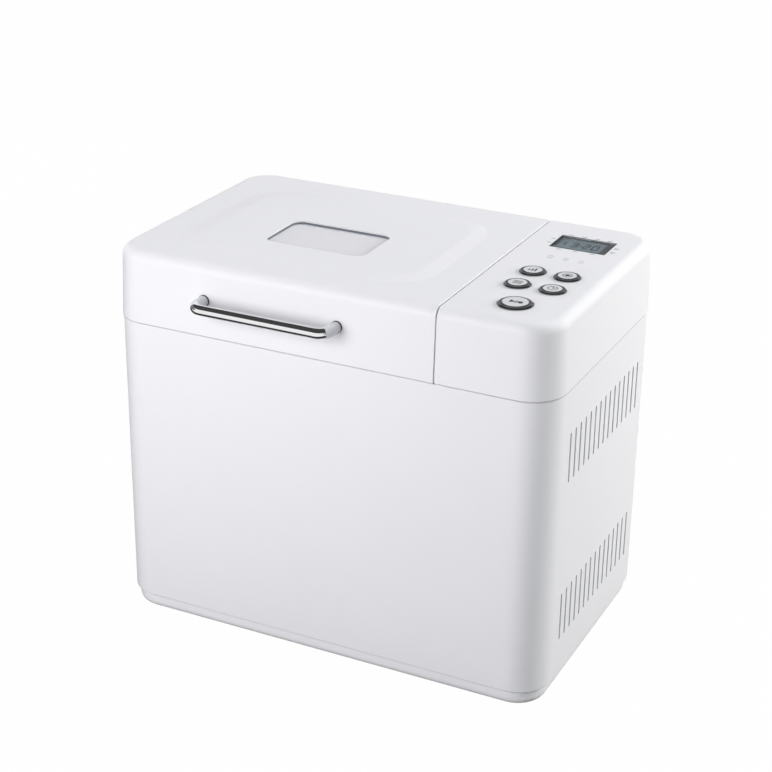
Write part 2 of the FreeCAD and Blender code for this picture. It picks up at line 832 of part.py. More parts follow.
soften(deck, s.deck_lip_wall / 2, at_level(deck_top + s.deck_lip))
shape = new_sketch(deck, "XY", z=deck_top + s.deck_lip)
rounded(shape, mouth_width, mouth_depth, mouth_corner, lid_x)
pocket(deck, shape, s.deck_lip + s.deck_seat)
shape = new_sketch(deck, "XY", z=deck_top)
for u, v in housing_screws:
    round_hole(shape, screw_pilot, u, v)
rounded(shape, s.wire_mouth_width, s.wire_mouth_depth, s.wire_mouth_corner, housing_x)
pocket(deck, shape, s.deck_seat)

# Oven liner: a pressed steel box that hangs under the deck by its flange
liner = new_body("oven_liner", x=lid_x)
outer_width = oven_width + 2 * s.oven_sheet
outer_depth = oven_depth + 2 * s.oven_sheet
shape = new_sketch(liner, "XY", z=oven_floor)
rounded(shape, outer_width, outer_depth, s.oven_corner + s.oven_sheet)
pad(liner, shape, deck_under - oven_floor)
shape = new_sketch(liner, "XY", z=deck_under)
rounded(
    shape, oven_width + 2 * s.oven_flange, oven_depth + 2 * s.oven_flange, s.oven_corner + s.oven_flange
)
pad(liner, shape, s.oven_sheet, back=True)
shape = new_sketch(liner, "XY", z=deck_under)
rounded(shape, oven_width, oven_depth, s.oven_corner)
pocket(liner, shape, deck_under - oven_inside)
soften(liner, s.oven_edge, at_level(oven_inside))
soften(liner, s.oven_edge + s.oven_sheet, at_level(oven_floor))
shape = new_sketch(liner, "XY", z=oven_floor)
round_hole(shape, s.bearing_tube + 2 * s.seat_gap)
pocket(liner, shape, s.oven_edge, back=True)
# Holes for the heater tails in the right wall and the sensor in the left wall
heater_z = oven_inside + s.heater_level
sensor_z = oven_inside + s.sensor_level
shape = new_sketch(liner, "YZ", x=oven_width / 2 - s.oven_edge)
for side in (-1, 1):
    round_hole(shape, s.heater_tube + 2 * s.seat_gap, side * s.heater_tail_spread / 2, heater_z)
pocket(liner, shape, s.oven_edge * 3, back=True)
shape = new_sketch(liner, "YZ", x=s.oven_edge - oven_width / 2)
round_hole(shape, s.sensor_diameter + 2 * s.press_gap, 0, sensor_z)
pocket(liner, shape, s.oven_edge * 3)

# Standoffs that carry the oven on the chassis
standoff_places = [
    (lid_x + u, v)
    for u, v in corners_of(
        s.chassis_reach - 3 * s.standoff_diameter, s.chassis_depth / 2 - 2 * s.standoff_diameter
    )
]
standoffs = new_body("oven_standoffs")
shape = new_sketch(standoffs, "XY", z=chassis_top)
for u, v in standoff_places:
    round_hole(shape, s.standoff_diameter, u, v)
pad(standoffs, shape, s.standoff_height)

# Chassis plate: sheet steel with turned down rims, on the tray's posts
chassis = new_body("chassis_plate")
half_chassis = s.chassis_depth / 2
shape = new_sketch(chassis, "XY", z=chassis_top - s.chassis_sheet)
rectangle(shape, chassis_left, chassis_right, -half_chassis, half_chassis)
pad(chassis, shape, s.chassis_sheet)
for side in (-1, 1):
    low, high = sorted((side * half_chassis, side * (half_chassis - s.chassis_sheet)), key=lambda e: e.value)
    shape = new_sketch(chassis, "XY", z=chassis_top)
    rectangle(shape, chassis_left, chassis_right, low, high)
    pad(chassis, shape, s.chassis_rim, back=True)
shape = new_sketch(chassis, "XY", z=chassis_top)
round_hole(shape, s.bearing_tube + 2 * s.press_gap, lid_x)
round_hole(shape, s.pulley_hub, motor_x)
pocket(chassis, shape, s.chassis_sheet * 2)

# Bearing housing: a flanged tube on the chassis that rises through the oven floor
bearing_foot = chassis_top - s.chassis_sheet - s.bearing_below
bearing_head = oven_inside + s.bearing_above
bush_outer = s.shaft_diameter + 2 * s.bush_bore_wall
tube_radius, bore_radius = s.bearing_tube / 2, bush_outer / 2 + s.press_gap
flange_top = chassis_top + s.bearing_flange_height
bearing = new_body("bearing_housing", x=lid_x)
shape = new_sketch(bearing, "XZ")
outline(shape, [
    (bore_radius, bearing_foot), (tube_radius, bearing_foot), (tube_radius, chassis_top),
    (s.bearing_flange / 2, chassis_top), (s.bearing_flange / 2, flange_top), (tube_radius, flange_top),
    (tube_radius, bearing_head), (bore_radius, bearing_head),
])
revolve(bearing, shape)
bushes = new_body("bearing_bushes", x=lid_x)
for foot in (bearing_foot, bearing_head - s.bush_length):
    shape = new_sketch(bushes, "XY", z=foot)
    round_hole(shape, bush_outer)
    round_hole(shape, s.shaft_diameter + 2 * s.run_gap)
    pad(bushes, shape, s.bush_length)

# Drive shaft with its pulley, nut and the coupling inside the oven
pulley_head = bearing_foot - s.seat_gap
pulley_high = chassis_top - s.chassis_sheet - s.pulley_gap - s.chassis_rim
pulley_low = pulley_high - s.pulley_width
coupling_foot = bearing_head + s.seat_gap
coupling_top = coupling_foot + s.coupling_disc
shaft_foot = pulley_low - s.pulley_nut_height
shaft_seat = s.shaft_diameter + 2 * s.press_gap
shaft = new_body("drive_shaft", x=lid_x)
shape = new_sketch(shaft, "XY", z=shaft_foot)
round_hole(shape, s.shaft_diameter)
pad(shaft, shape, coupling_top - shaft_foot)


def pulley(label, diameter, hub, x, low, head):
    """A flat belt pulley: rim with two flanges, a thin web and a hub up to head."""
    body = new_body(label, x=x)
    seat, tread = shaft_seat / 2, diameter / 2
    flange = tread + s.pulley_lip
    high = low + s.pulley_width
    shape = new_sketch(body, "XZ")
    outline(shape, [
        (seat, low), (flange, low), (flange, low + s.pulley_lip), (tread, low + 2 * s.pulley_lip),
        (tread, high - 2 * s.pulley_lip), (flange, high - s.pulley_lip), (flange, high), (hub / 2, high),
        (hub / 2, head), (seat, head),
    ])
    revolve(body, shape)
    return body


large_pulley = pulley("large_pulley", s.large_pulley, s.pulley_hub, lid_x, pulley_low, pulley_head)
# The wheel is dished on both faces and lightened by six round holes
web_outer = s.large_pulley / 2 - s.pulley_flange
web_dish = (s.pulley_width - s.pulley_web) / 2
for level, back in ((pulley_high, False), (pulley_low, True)):
    shape = new_sketch(large_pulley, "XY", z=level)
    round_hole(shape, 2 * web_outer)
    round_hole(shape, s.pulley_hub)
    pocket(large_pulley, shape, web_dish, back=back)
web_middle = (web_outer + s.pulley_hub / 2) / 2
shape = new_sketch(large_pulley, "XY", z=pulley_high)
round_hole(shape, s.pulley_hole, web_middle)
hole = pocket(large_pulley, shape, s.pulley_width)
web_holes = 6
around(large_pulley, hole, web_holes)

nut = new_body("pulley_nut", x=lid_x)
shape = new_sketch(nut, "XY", z=shaft_foot)
half_nut = s.pulley_nut / 2
outline(shape, [
    (half_nut * math.cos(math.radians(60 * k)), half_nut * math.sin(math.radians(60 * k))) for k in range(6)
])
round_hole(shape, shaft_seat)
pad(nut, shape, s.pulley_nut_height)

coupling = new_body("drive_coupling", x=lid_x)
shape = new_sketch(coupling, "XY", z=coupling_foot)
round_hole(shape, s.coupling_diameter)
round_hole(shape, shaft_seat)
pad(coupling, shape, s.coupling_disc)
lug_outer = s.coupling_diameter / 2 - s.coupling_lug_width / 2
shape = new_sketch(coupling, "XY", z=coupling_foot + s.coupling_disc / 2)
rounded(shape, s.coupling_lug_width, s.coupling_lug_width, s.coupling_edge, lug_outer - s.coupling_edge)
lug = pad(coupling, shape, s.coupling_lug + s.coupling_disc / 2)
around(coupling, lug, 2)

# Belt: a flat loop round both pulleys, tangent to each
belt_width = s.pulley_width - 4 * s.pulley_lip - 2 * s.seat_gap
belt_level = (pulley_low + pulley_high) / 2 - belt_width / 2
belt_reach = motor_x - lid_x
belt = new_body("drive_belt", x=lid_x)
shape = new_sketch(belt, "XY", z=belt_level)
for offset in (s.seat_gap, s.seat_gap + s.belt_thickness):
    large, small = s.large_pulley / 2 + offset, s.small_pulley / 2 + offset
    lean = math.asin((large.value - small.value) / belt_reach.value)
    turn = math.pi / 2 - lean
    first = shape.GeometryCount
    centres = (Vector(), Vector(belt_reach.value, 0, 0))
    spans = ((turn, 2 * math.pi - turn), (-turn, turn))
    for centre, radius, (start, end) in zip(centres, (large, small), spans):
        circle = Part.Circle(centre, Vector(0, 0, 1), radius.value)
        shape.addGeometry(Part.ArcOfCircle(circle, start, end))
    wheel, pinion = shape.Geometry[first], shape.Geometry[first + 1]
    shape.addGeometry(Part.LineSegment(wheel.EndPoint, pinion.StartPoint))
    shape.addGeometry(Part.LineSegment(pinion.EndPoint, wheel.StartPoint))
    chain = (first, first + 2, first + 1, first + 3)
    for here, onward in zip(chain, chain[1:] + chain[:1]):
        shape.addConstraint(Sketcher.Constraint("Tangent", here, 2, onward, 1))
    dimension(shape, "Radius", (first,), large)
    dimension(shape, "Radius", (first + 1,), small)
    pin_point(shape, first, 3, 0, 0)
    pin_point(shape, first + 1, 3, belt_reach, 0)
pad(belt, shape, belt_width)

# Motor: a square laminated stator between two end bells, standing on the chassis with its shaft down
bell_low = chassis_top
stator_low = bell_low + s.bell_height
stator_high = stator_low + s.stator_height
bell_high = stator_high + s.bell_height
stator = new_body("motor_stator", x=motor_x)
shape = new_sketch(stator, "XY", z=stator_low)
rounded(shape, s.stator_side, s.stator_side, s.stator_corner)
round_hole(shape, s.rotor_diameter + 2 * s.rotor_gap)
pad(stator, shape, s.stator_height)
# Each bell is a turned cup with a bearing boss in its end
bells = new_body("motor_end_bells", x=motor_x)
bell_radius, boss_radius = s.bell_diameter / 2, s.shaft_diameter / 2 + s.bush_bore_wall
bore = s.shaft_diameter / 2 + s.run_gap
for closed, open_end, way in ((bell_low, stator_low, 1), (bell_high, stator_high, -1)):
    inside = closed + way * s.bell_wall
    boss_end = closed + way * s.bush_length
    shape = new_sketch(bells, "XZ")
    outline(shape, [
        (bore, closed), (bell_radius, closed), (bell_radius, open_end), (bell_radius - s.bell_wall, open_end),
        (bell_radius - s.bell_wall, inside), (boss_radius, inside), (boss_radius, boss_end), (bore, boss_end),
    ])
    revolve(bells, shape)
rotor = new_body("motor_rotor", x=motor_x)
shape = new_sketch(rotor, "XY", z=pulley_low)
round_hole(shape, s.shaft_diameter)
pad(rotor, shape, bell_high + s.bell_wall - pulley_low)
shape = new_sketch(rotor, "XY", z=stator_low)
round_hole(shape, s.rotor_diameter)
pad(rotor, shape, s.stator_height)
pinion_hub = s.small_pulley - 2 * s.pulley_lip
pulley("motor_pulley", s.small_pulley, pinion_hub, motor_x, pulley_low, pulley_high + s.pulley_lip)
capacitor = new_body("motor_capacitor", x=motor_x, y=s.capacitor_side)
shape = new_sketch(capacitor, "XY", z=chassis_top)
round_hole(shape, s.capacitor_diameter)
pad(capacitor, shape, s.capacitor_height)
soften(capacitor, s.capacitor_edge, at_level(chassis_top + s.capacitor_height))

# Heating element: a round bar bent into a loop near the oven wall, its tails out through the right wall
loop_x = oven_width / 2 - s.heater_side_gap
loop_y = oven_depth / 2 - s.heater_front_gap
tail_x = oven_width / 2 + s.heater_tail
tail_y = s.heater_tail_spread / 2
heater_route = [
    (tail_x, -tail_y), (loop_x, -tail_y), (loop_x, -loop_y), (-loop_x, -loop_y),
    (-loop_x, loop_y), (loop_x, loop_y), (loop_x, tail_y), (tail_x, tail_y),
]
bent_bar(
    "heating_element", [(lid_x + x, y, heater_z) for x, y in heater_route], s.heater_tube,
    [s.heater_tail_bend] + 4 * [s.heater_bend] + [s.heater_tail_bend],
)
# Forked clips hold the loop off the oven floor
heater_clips = new_body("heater_clips", x=lid_x)
clip_half = s.heater_clip_width / 2
for side in (-1, 1):
    shape = new_sketch(heater_clips, "YZ", x=-s.heater_clip_sheet / 2)
    rectangle(shape, side * loop_y - clip_half, side * loop_y + clip_half, oven_inside, heater_z)
    pad(heater_clips, shape, s.heater_clip_sheet)
for side in (-1, 1):
    shape = new_sketch(heater_clips, "YZ", x=-s.heater_clip_sheet / 2)
    round_hole(shape, s.heater_tube + 2 * s.press_gap, side * loop_y, heater_z)
    pocket(heater_clips, shape, s.heater_clip_sheet, back=True)

# Sprung steel clips that grip the foot ring of the pan
clip_near = s.pan_foot_diameter / 2 + s.seat_gap
pan_clips = new_body("pan_clips", x=lid_x)
for side in (-1, 1):
    shape = new_sketch(pan_clips, "XZ", y=s.clip_width / 2)
    outline(shape, [
        (side * clip_near, oven_inside), (side * (clip_near + s.clip_foot), oven_inside),
        (side * (clip_near + s.clip_foot), oven_inside + s.clip_sheet),
        (side * (clip_near + s.clip_sheet), oven_inside + s.clip_sheet),
        (side * (clip_near + s.clip_sheet), oven_inside + s.clip_height),
        (side * clip_near, oven_inside + s.clip_height),
    ])
    pad(pan_clips, shape, s.clip_width)

# Temperature sensor: a probe through the left oven wall with its nut outside
sensor = new_body("temperature_sensor", x=lid_x - oven_width / 2)
shape = new_sketch(sensor, "YZ", x=s.sensor_reach)
round_hole(shape, s.sensor_diameter, 0, sensor_z)
pad(sensor, shape, s.sensor_reach + s.oven_sheet + s.sensor_diameter, back=True)
shape = new_sketch(sensor, "YZ", x=-s.oven_sheet)
round_hole(shape, s.sensor_nut, 0, sensor_z)
pad(sensor, shape, s.sensor_diameter / 2, back=True)

# Bread pan: a drawn tapered tin with a turned out rim
pan = new_body("bread_pan", x=lid_x)
pan_taper = taper_angle(s.pan_draft, pan_height)
shape = new_sketch(pan, "XY", z=pan_top)
rounded(shape, pan_width, pan_depth, s.pan_corner)
pad(pan, shape, pan_height, taper=pan_taper, back=True)
shape = new_sketch(pan, "XY", z=pan_top)
rounded(shape, pan_width + 2 * s.pan_rim, pan_depth + 2 * s.pan_rim, s.pan_corner + s.pan_rim)
pad(pan, shape, s.pan_wall, back=True)
shape = new_sketch(pan, "XY", z=pan_top)
rounded(shape, pan_width - 2 * s.pan_wall, pan_depth - 2 * s.pan_wall, s.pan_corner - s.pan_wall)
pocket(pan, shape, pan_height - s.pan_wall, taper=pan_taper)
soften(pan, s.pan_edge, at_level(pan_floor + s.pan_wall))
soften(pan, s.pan_edge + s.pan_wall, at_level(pan_floor))
shape = new_sketch(pan, "XY", z=pan_floor)
round_hole(shape, s.bush_diameter + 2 * s.press_gap)
pocket(pan, shape, s.pan_wall * 2, back=True)
# Foot ring below the pan
pan_foot = new_body("pan_foot", x=lid_x)
shape = new_sketch(pan_foot, "XY", z=pan_floor)
round_hole(shape, s.pan_foot_diameter)
round_hole(shape, s.pan_foot_diameter - 2 * s.pan_foot_wall)
pad(pan_foot, shape, s.pan_foot_height, back=True)
# Flanged bush in the pan's floor, with a lip seal on its head
bush_foot = pan_floor - s.bush_below_floor
floor_top = pan_floor + s.pan_wall
bush_head = floor_top + s.bush_above_floor
running_bore = s.shaft_diameter / 2 + s.run_gap
pan_bush = new_body("pan_bush", x=lid_x)
shape = new_sketch(pan_bush, "XZ")
flange_high = floor_top + s.bush_flange_height
outline(shape, [
    (running_bore, bush_foot), (s.bush_diameter / 2, bush_foot), (s.bush_diameter / 2, floor_top),
    (s.bush_flange / 2, floor_top), (s.bush_flange / 2, flange_high), (s.bush_diameter / 2, flange_high),
    (s.bush_diameter / 2, bush_head), (running_bore, bush_head),
])
revolve(pan_bush, shape)
seal = new_body("shaft_seal", x=lid_x)
shape = new_sketch(seal, "XY", z=bush_head)
round_hole(shape, s.bush_diameter)
round_hole(shape, s.shaft_diameter + 2 * s.run_gap)
pad(seal, shape, s.seal_height)
# Ears on the short sides of the rim carry the wire bail, which lies folded on the front rim
rim_x = pan_width / 2 + s.pan_rim
bail_z = pan_top + s.seat_gap + s.bail_wire / 2
ears = new_body("pan_ears", x=lid_x)
for side in (-1, 1):
    shape = new_sketch(ears, "YZ", x=side * rim_x)
    rounded(shape, s.ear_width, s.ear_drop + s.ear_width, s.ear_corner, 0, bail_z - s.ear_drop / 2)
    pad(ears, shape, s.ear_plate, back=side < 0)
for side in (-1, 1):
    shape = new_sketch(ears, "YZ", x=side * rim_x)
    round_hole(shape, s.bail_wire + 2 * s.run_gap, 0, bail_z)
    pocket(ears, shape, s.ear_plate, back=side > 0)
arm_x = rim_x + s.ear_plate + s.seat_gap + s.bail_wire / 2
stub_x = rim_x - s.bail_wire
bail_y = -(pan_depth / 2 + s.pan_rim / 2)
pivot_bend = s.bail_wire / 2 + s.press_gap
bail_route = [(-stub_x, 0), (-arm_x, 0), (-arm_x, bail_y), (arm_x, bail_y), (arm_x, 0), (stub_x, 0)]
bent_bar(
    "pan_bail", [(lid_x + x, y, bail_z) for x, y in bail_route], s.bail_wire,
    [pivot_bend, s.bail_bend, s.bail_bend, pivot_bend],
)

# Paddle shaft, the wing below the pan that meets the drive coupling, and the kneading paddle
wing_foot = coupling_top + s.seat_gap
paddle_foot = bush_head + s.seal_height + s.seat_gap
paddle_shaft = new_body("paddle_shaft", x=lid_x)
shape = new_sketch(paddle_shaft, "XY", z=wing_foot)
round_hole(shape, s.shaft_diameter)
pad(paddle_shaft, shape, paddle_foot + s.paddle_hub_height - s.paddle_blade - wing_foot)
wing = new_body("pan_coupling", x=lid_x)
shape = new_sketch(wing, "XY", z=wing_foot)
rounded(shape, s.coupling_lug_width, s.coupling_wing, s.coupling_edge)
pad(wing, shape, s.coupling_wing_height)
shape = new_sketch(wing, "XY", z=wing_foot)
round_hole(shape, s.shaft_diameter + 2 * s.bush_bore_wall)
pad(wing, shape, s.coupling_wing_height)
shape = new_sketch(wing, "XY", z=wing_foot)
round_hole(shape, shaft_seat)
pocket(wing, shape, s.coupling_wing_height, back=True)
paddle_reach = pan_depth / 2 - s.pan_draft - s.pan_wall - s.paddle_gap
paddle = new_body("kneading_paddle", x=lid_x)
shape = new_sketch(paddle, "XZ", y=s.paddle_blade / 2)
blade_top = paddle_foot + s.paddle_height
outline(shape, [
    (0, paddle_foot), (paddle_reach - s.paddle_sweep / 2, paddle_foot),
    (paddle_reach, paddle_foot + s.paddle_sweep / 2), (paddle_reach - s.paddle_sweep, blade_top),
    (s.paddle_hub, blade_top), (0, paddle_foot + s.paddle_hub_height / 2),
])
pad(paddle, shape, s.paddle_blade)
shape = new_sketch(paddle, "XZ")
outline(shape, [
    (0, paddle_foot), (s.paddle_hub / 2, paddle_foot),
    (s.paddle_hub_top / 2, paddle_foot + s.paddle_hub_height), (0, paddle_foot + s.paddle_hub_height),
])
revolve(paddle, shape)
soften(paddle, s.paddle_blade / 2, at_level(paddle_foot + s.paddle_hub_height))
shape = new_sketch(paddle, "XY", z=paddle_foot)
round_hole(shape, shaft_seat)
pocket(paddle, shape, s.paddle_hub_height - s.paddle_blade + s.seat_gap, back=True)


# The lid and the control housing are two lengths of one drafted, round edged box
def upper_shell(label, low, high, cut):
    """The hollow box from low to high, open below, with its cut end at cut."""
    body = new_body(label)
    width, depth = s.casing_width + 2 * s.lid_overhang, lid_depth
    corner = s.casing_corner + s.lid_overhang
    draft = taper_angle(s.lid_draft, s.lid_height)
    shape = new_sketch(body, "XY", z=lid_foot)
    rounded(shape, width, depth, corner)
    pad(body, shape, s.lid_height, taper=draft)
    removed = (cut, s.casing_width) if cut is high else (-s.casing_width, cut)
    shape = new_sketch(body, "XY", z=lid_foot)
    rectangle(shape, *removed, -s.casing_depth, s.casing_depth)
    pocket(body, shape, 2 * s.lid_height, back=True)
    # The hollow has round corners at the outer end and square ones at the cut end
    inner_low, inner_high = low + s.lid_wall, high - s.lid_wall
    middle, span = (inner_low + inner_high) / 2, inner_high - inner_low
    inner_deep, inner_round = depth - 2 * s.lid_wall, corner - s.lid_wall
    shape = new_sketch(body, "XY", z=lid_foot)
    rounded(shape, span, inner_deep, inner_round, middle)
    pocket(body, shape, s.lid_height - s.lid_wall, taper=draft, back=True)
    cut_end = inner_high if cut is high else inner_low
    reach = cut_end - s.lid_draft + (span / 2) * (-1 if cut is high else 1)
    near, far = (reach, cut_end) if cut is high else (cut_end, reach)
    shape = new_sketch(body, "XY", z=lid_foot)
    rectangle(shape, near, far, -inner_deep / 2 + s.lid_draft, inner_deep / 2 - s.lid_draft)
    pocket(body, shape, s.lid_height - s.lid_wall, back=True)
    return body


def shell_edges(body, cut):
    """Rounds the shell's top edges, generously outside and a little along the cut."""
    at_cut = as_size(cut).value

    def outer_top(edge):
        box = edge.BoundBox
        return at_level(lid_top)(edge) and not (abs(box.XMin - at_cut) + abs(box.XMax - at_cut) < TOLERANCE)

    def cut_rim(edge):
        box = edge.BoundBox
        flat = abs(box.XMin - at_cut) < TOLERANCE and abs(box.XMax - at_cut) < TOLERANCE
        return flat and box.ZMax > lid_foot.value + TOLERANCE

    soften(body, s.lid_edge, outer_top)
    soften(body, s.split_edge, cut_rim)


lid_ceiling = lid_top - s.lid_wall
lid_cover = upper_shell("lid_cover", lid_left, lid_right, lid_right)
soften(lid_cover, s.lid_edge - s.lid_wall, at_level(lid_ceiling))
shell_edges(lid_cover, lid_right)
# Raised plateau with soft flanks, hollow below, and the window opening in it
plateau_y = -s.plateau_shift
shape = new_sketch(lid_cover, "XY", z=lid_top)
rounded(shape, plateau_width, plateau_depth, s.plateau_corner, feature_x, plateau_y)
pad(lid_cover, shape, s.plateau_height, taper=taper_angle(s.plateau_slope, s.plateau_height))


def plateau_foot(edge):
    """Picks the outline of the plateau on the lid's top face."""
    half_w, half_d = plateau_width.value / 2, plateau_depth.value / 2
    off_x = abs(edge.CenterOfMass.x - feature_x.value)
    off_y = abs(edge.CenterOfMass.y - plateau_y.value)
    inside = off_x < half_w + TOLERANCE and off_y < half_d + TOLERANCE
    return at_level(lid_top)(edge) and inside


soften(lid_cover, s.plateau_blend, lambda edge: at_level(plateau_top)(edge) or plateau_foot(edge))
shape = new_sketch(lid_cover, "XY", z=lid_ceiling)
hollow_inset = s.plateau_slope + s.lid_wall
rounded(
    shape, plateau_width - 2 * hollow_inset, plateau_depth - 2 * hollow_inset,
    s.plateau_corner - hollow_inset, feature_x, plateau_y,
)
pocket(lid_cover, shape, plateau_top - s.window_wall - lid_ceiling, back=True)
window_y = -s.window_shift
shape = new_sketch(lid_cover, "XY", z=plateau_top)
rounded(shape, s.window_width, s.window_depth, s.window_corner, feature_x, window_y)
pocket(lid_cover, shape, 2 * s.window_wall)
# Bosses for the liner's screws, between the lid's walls and the liner's
liner_foot = lid_foot + s.liner_rise
liner_flange_top = liner_foot + s.liner_sheet
liner_ceiling = lid_top - s.liner_headroom
liner_width = oven_width + 2 * s.liner_gap
liner_depth = oven_depth + 2 * s.liner_gap
left_gap = (lid_left + s.lid_wall + lid_x - liner_width / 2 - s.liner_sheet) / 2
right_gap = (lid_right - s.lid_wall + lid_x + liner_width / 2 + s.liner_sheet) / 2
lid_screw_places = [(x, side * oven_depth / 3) for x in (left_gap, right_gap) for side in (-1, 1)]
shape = new_sketch(lid_cover, "XY", z=liner_flange_top)
for u, v in lid_screw_places:
    round_hole(shape, s.lid_boss_diameter, u, v)
pad(lid_cover, shape, lid_ceiling + s.lid_wall / 2 - liner_flange_top)
shape = new_sketch(lid_cover, "XY", z=liner_flange_top)
for u, v in lid_screw_places:
    round_hole(shape, screw_pilot, u, v)
pocket(lid_cover, shape, s.screw_grip, back=True)
# Holes for the handle screws in the front wall
handle_z = lid_foot + s.handle_rise
handle_y = lid_front - s.handle_reach
wall_lean = s.lid_draft / s.lid_height
front_face = lid_front + wall_lean * s.handle_rise
post_places = [(feature_x + side * s.handle_span / 2, handle_z) for side in (-1, 1)]
shape = new_sketch(lid_cover, "XZ", y=front_face + 2 * s.lid_wall)
for u, v in post_places:
    round_hole(shape, screw_pilot, u, v)
pocket(lid_cover, shape, 4 * s.lid_wall, back=True)
# Lid liner: a pressed dish with a flange that closes the lid from below
liner_low = lid_left + s.lid_wall + 2 * s.seat_gap
liner_high = lid_right - s.lid_wall - 2 * s.seat_gap
flange_depth = lid_depth - 2 * s.lid_wall - 4 * s.seat_gap
flange_corner = s.casing_corner + s.lid_overhang - s.lid_wall - 2 * s.seat_gap
lid_liner = new_body("lid_liner")
shape = new_sketch(lid_liner, "XY", z=liner_foot)
rounded(shape, liner_high - liner_low, flange_depth, flange_corner, (liner_low + liner_high) / 2)
pad(lid_liner, shape, s.liner_sheet)
shape = new_sketch(lid_liner, "XY", z=liner_foot)
rounded(
    shape, liner_width + 2 * s.liner_sheet, liner_depth + 2 * s.liner_sheet,
    s.liner_corner + s.liner_sheet, lid_x,
)
pad(lid_liner, shape, liner_ceiling - liner_foot)
shape = new_sketch(lid_liner, "XY", z=liner_foot)
rounded(shape, liner_width, liner_depth, s.liner_corner, lid_x)
pocket(lid_liner, shape, liner_ceiling - s.liner_sheet - liner_foot, back=True)
soften(lid_liner, s.oven_edge, at_level(liner_ceiling - s.liner_sheet))
soften(lid_liner, s.oven_edge + s.liner_sheet, at_level(liner_ceiling))
shape = new_sketch(lid_liner, "XY", z=liner_ceiling)
rounded(shape, s.window_width, s.window_depth, s.window_corner, feature_x, window_y)
pocket(lid_liner, shape, 2 * s.liner_sheet)
shape = new_sketch(lid_liner, "XY", z=liner_flange_top)
for u, v in lid_screw_places:
    round_hole(shape, screw_pilot, u, v)
pocket(lid_liner, shape, 2 * s.liner_sheet)

# Window pane under the opening and the collar that holds it against the lid
pane_top = plateau_top - s.window_wall
pane_foot = pane_top - s.pane_thickness
pane_size = (s.window_width + 2 * s.pane_lap, s.window_depth + 2 * s.pane_lap, s.window_corner + s.pane_lap)
pane = new_body("lid_window", x=feature_x, y=window_y)
shape = new_sketch(pane, "XY", z=pane_foot)
rounded(shape, *pane_size)
pad(pane, shape, s.pane_thickness)
retainer = new_body("window_retainer", x=feature_x, y=window_y)
shape = new_sketch(retainer, "XY", z=liner_ceiling)
rounded(shape, *pane_size)
rounded(shape, s.window_width, s.window_depth, s.window_corner)
pad(retainer, shape, pane_foot - liner_ceiling)

# Handle: a chrome bar with rounded turns, on two moulded posts screwed from inside the lid
post_seat = front_face - wall_lean * s.handle_diameter / 2 - s.press_gap
turn_y = handle_y + s.handle_bend


def handle_rod(label, x, y, length, way):
    rod = doc.addObject("Part::Cylinder", label)
    rod.Placement = Placement(Vector(), Rotation(Vector(0, 0, 1), way))
    bind(rod, "Radius", s.handle_diameter / 2)
    bind(rod, "Height", length)
    for axis, place in zip("xyz", (x, y, handle_z)):
        bind(rod, f"Placement.Base.{axis}", place)
    return rod


def handle_turn(label, x, start, span):
    turn = doc.addObject("Part::Torus", label)
    turn.Placement = Placement(Vector(), Rotation(Vector(0, 0, 1), as_size(start).value))
    bind(turn, "Placement.Rotation.Angle", start)
    bind(turn, "Radius1", s.handle_bend)
    bind(turn, "Radius2", s.handle_diameter / 2)
    bind(turn, "Angle3", span)
    for axis, place in zip("xyz", (x, turn_y, handle_z)):
        bind(turn, f"Placement.Base.{axis}", place)
    return turn


turn_left = feature_x - s.handle_span / 2 + s.handle_bend
turn_right = feature_x + s.handle_span / 2 - s.handle_bend
handle_bar = doc.addObject("Part::MultiFuse", "handle_bar")
handle_bar.Shapes = [
    handle_rod("handle_grip", turn_left, handle_y, turn_right - turn_left, Vector(1, 0, 0)),
    handle_turn("handle_turn_left", turn_left, 270 - s.handle_split, s.handle_split),
    handle_turn("handle_turn_right", turn_right, as_size(270), s.handle_split),
]
place_node(handle_bar, "handle_bar")
posts = []
post_turn = 90 - s.handle_split
for (x, _), turn_x, start in zip(post_places, (turn_left, turn_right), (as_size(180), 270 + s.handle_split)):
    post = doc.addObject("Part::MultiFuse", "handle_post")
    post.Shapes = [
        handle_rod("handle_post_rod", x, turn_y, post_seat - turn_y, Vector(0, 1, 0)),
        handle_turn("handle_post_turn", turn_x, start, post_turn),
    ]
    pilot = handle_rod("handle_post_pilot", x, turn_y, post_seat - turn_y, Vector(0, 1, 0))
    bind(pilot, "Radius", screw_pilot / 2)
    drilled = doc.addObject("Part::Cut", "handle_post_drilled")
    drilled.Base = post
    drilled.Tool = pilot
    posts.append(drilled)
handle_posts = doc.addObject("Part::Compound", "handle_posts")
handle_posts.Links = posts
place_node(handle_posts, "handle_posts")

# Hinge knuckles: short barrels with an arm each, fixed on the lid's rear wall
knuckles = new_body("hinge_knuckles")
hinge_places = [lid_x + side * s.hinge_span / 2 for side in (-1, 1)]
knuckle_root = hinge_y - s.hinge_offset + s.press_gap
for x in hinge_places:
    start = x - s.hinge_knuckle / 2
    shape = new_sketch(knuckles, "YZ", x=start)
    round_hole(shape, s.hinge_barrel, hinge_y, hinge_z)
    pad(knuckles, shape, s.hinge_knuckle)
    shape = new_sketch(knuckles, "YZ", x=start)
    rectangle(shape, knuckle_root, hinge_y, hinge_z - s.hinge_arm / 2, hinge_z + s.hinge_arm / 2)
    pad(knuckles, shape, s.hinge_knuckle)
for x in hinge_places:
    shape = new_sketch(knuckles, "YZ", x=x - s.hinge_knuckle / 2)
    round_hole(shape, s.hinge_pin + 2 * s.run_gap, hinge_y, hinge_z)
    pocket(knuckles, shape, s.hinge_knuckle, back=True)

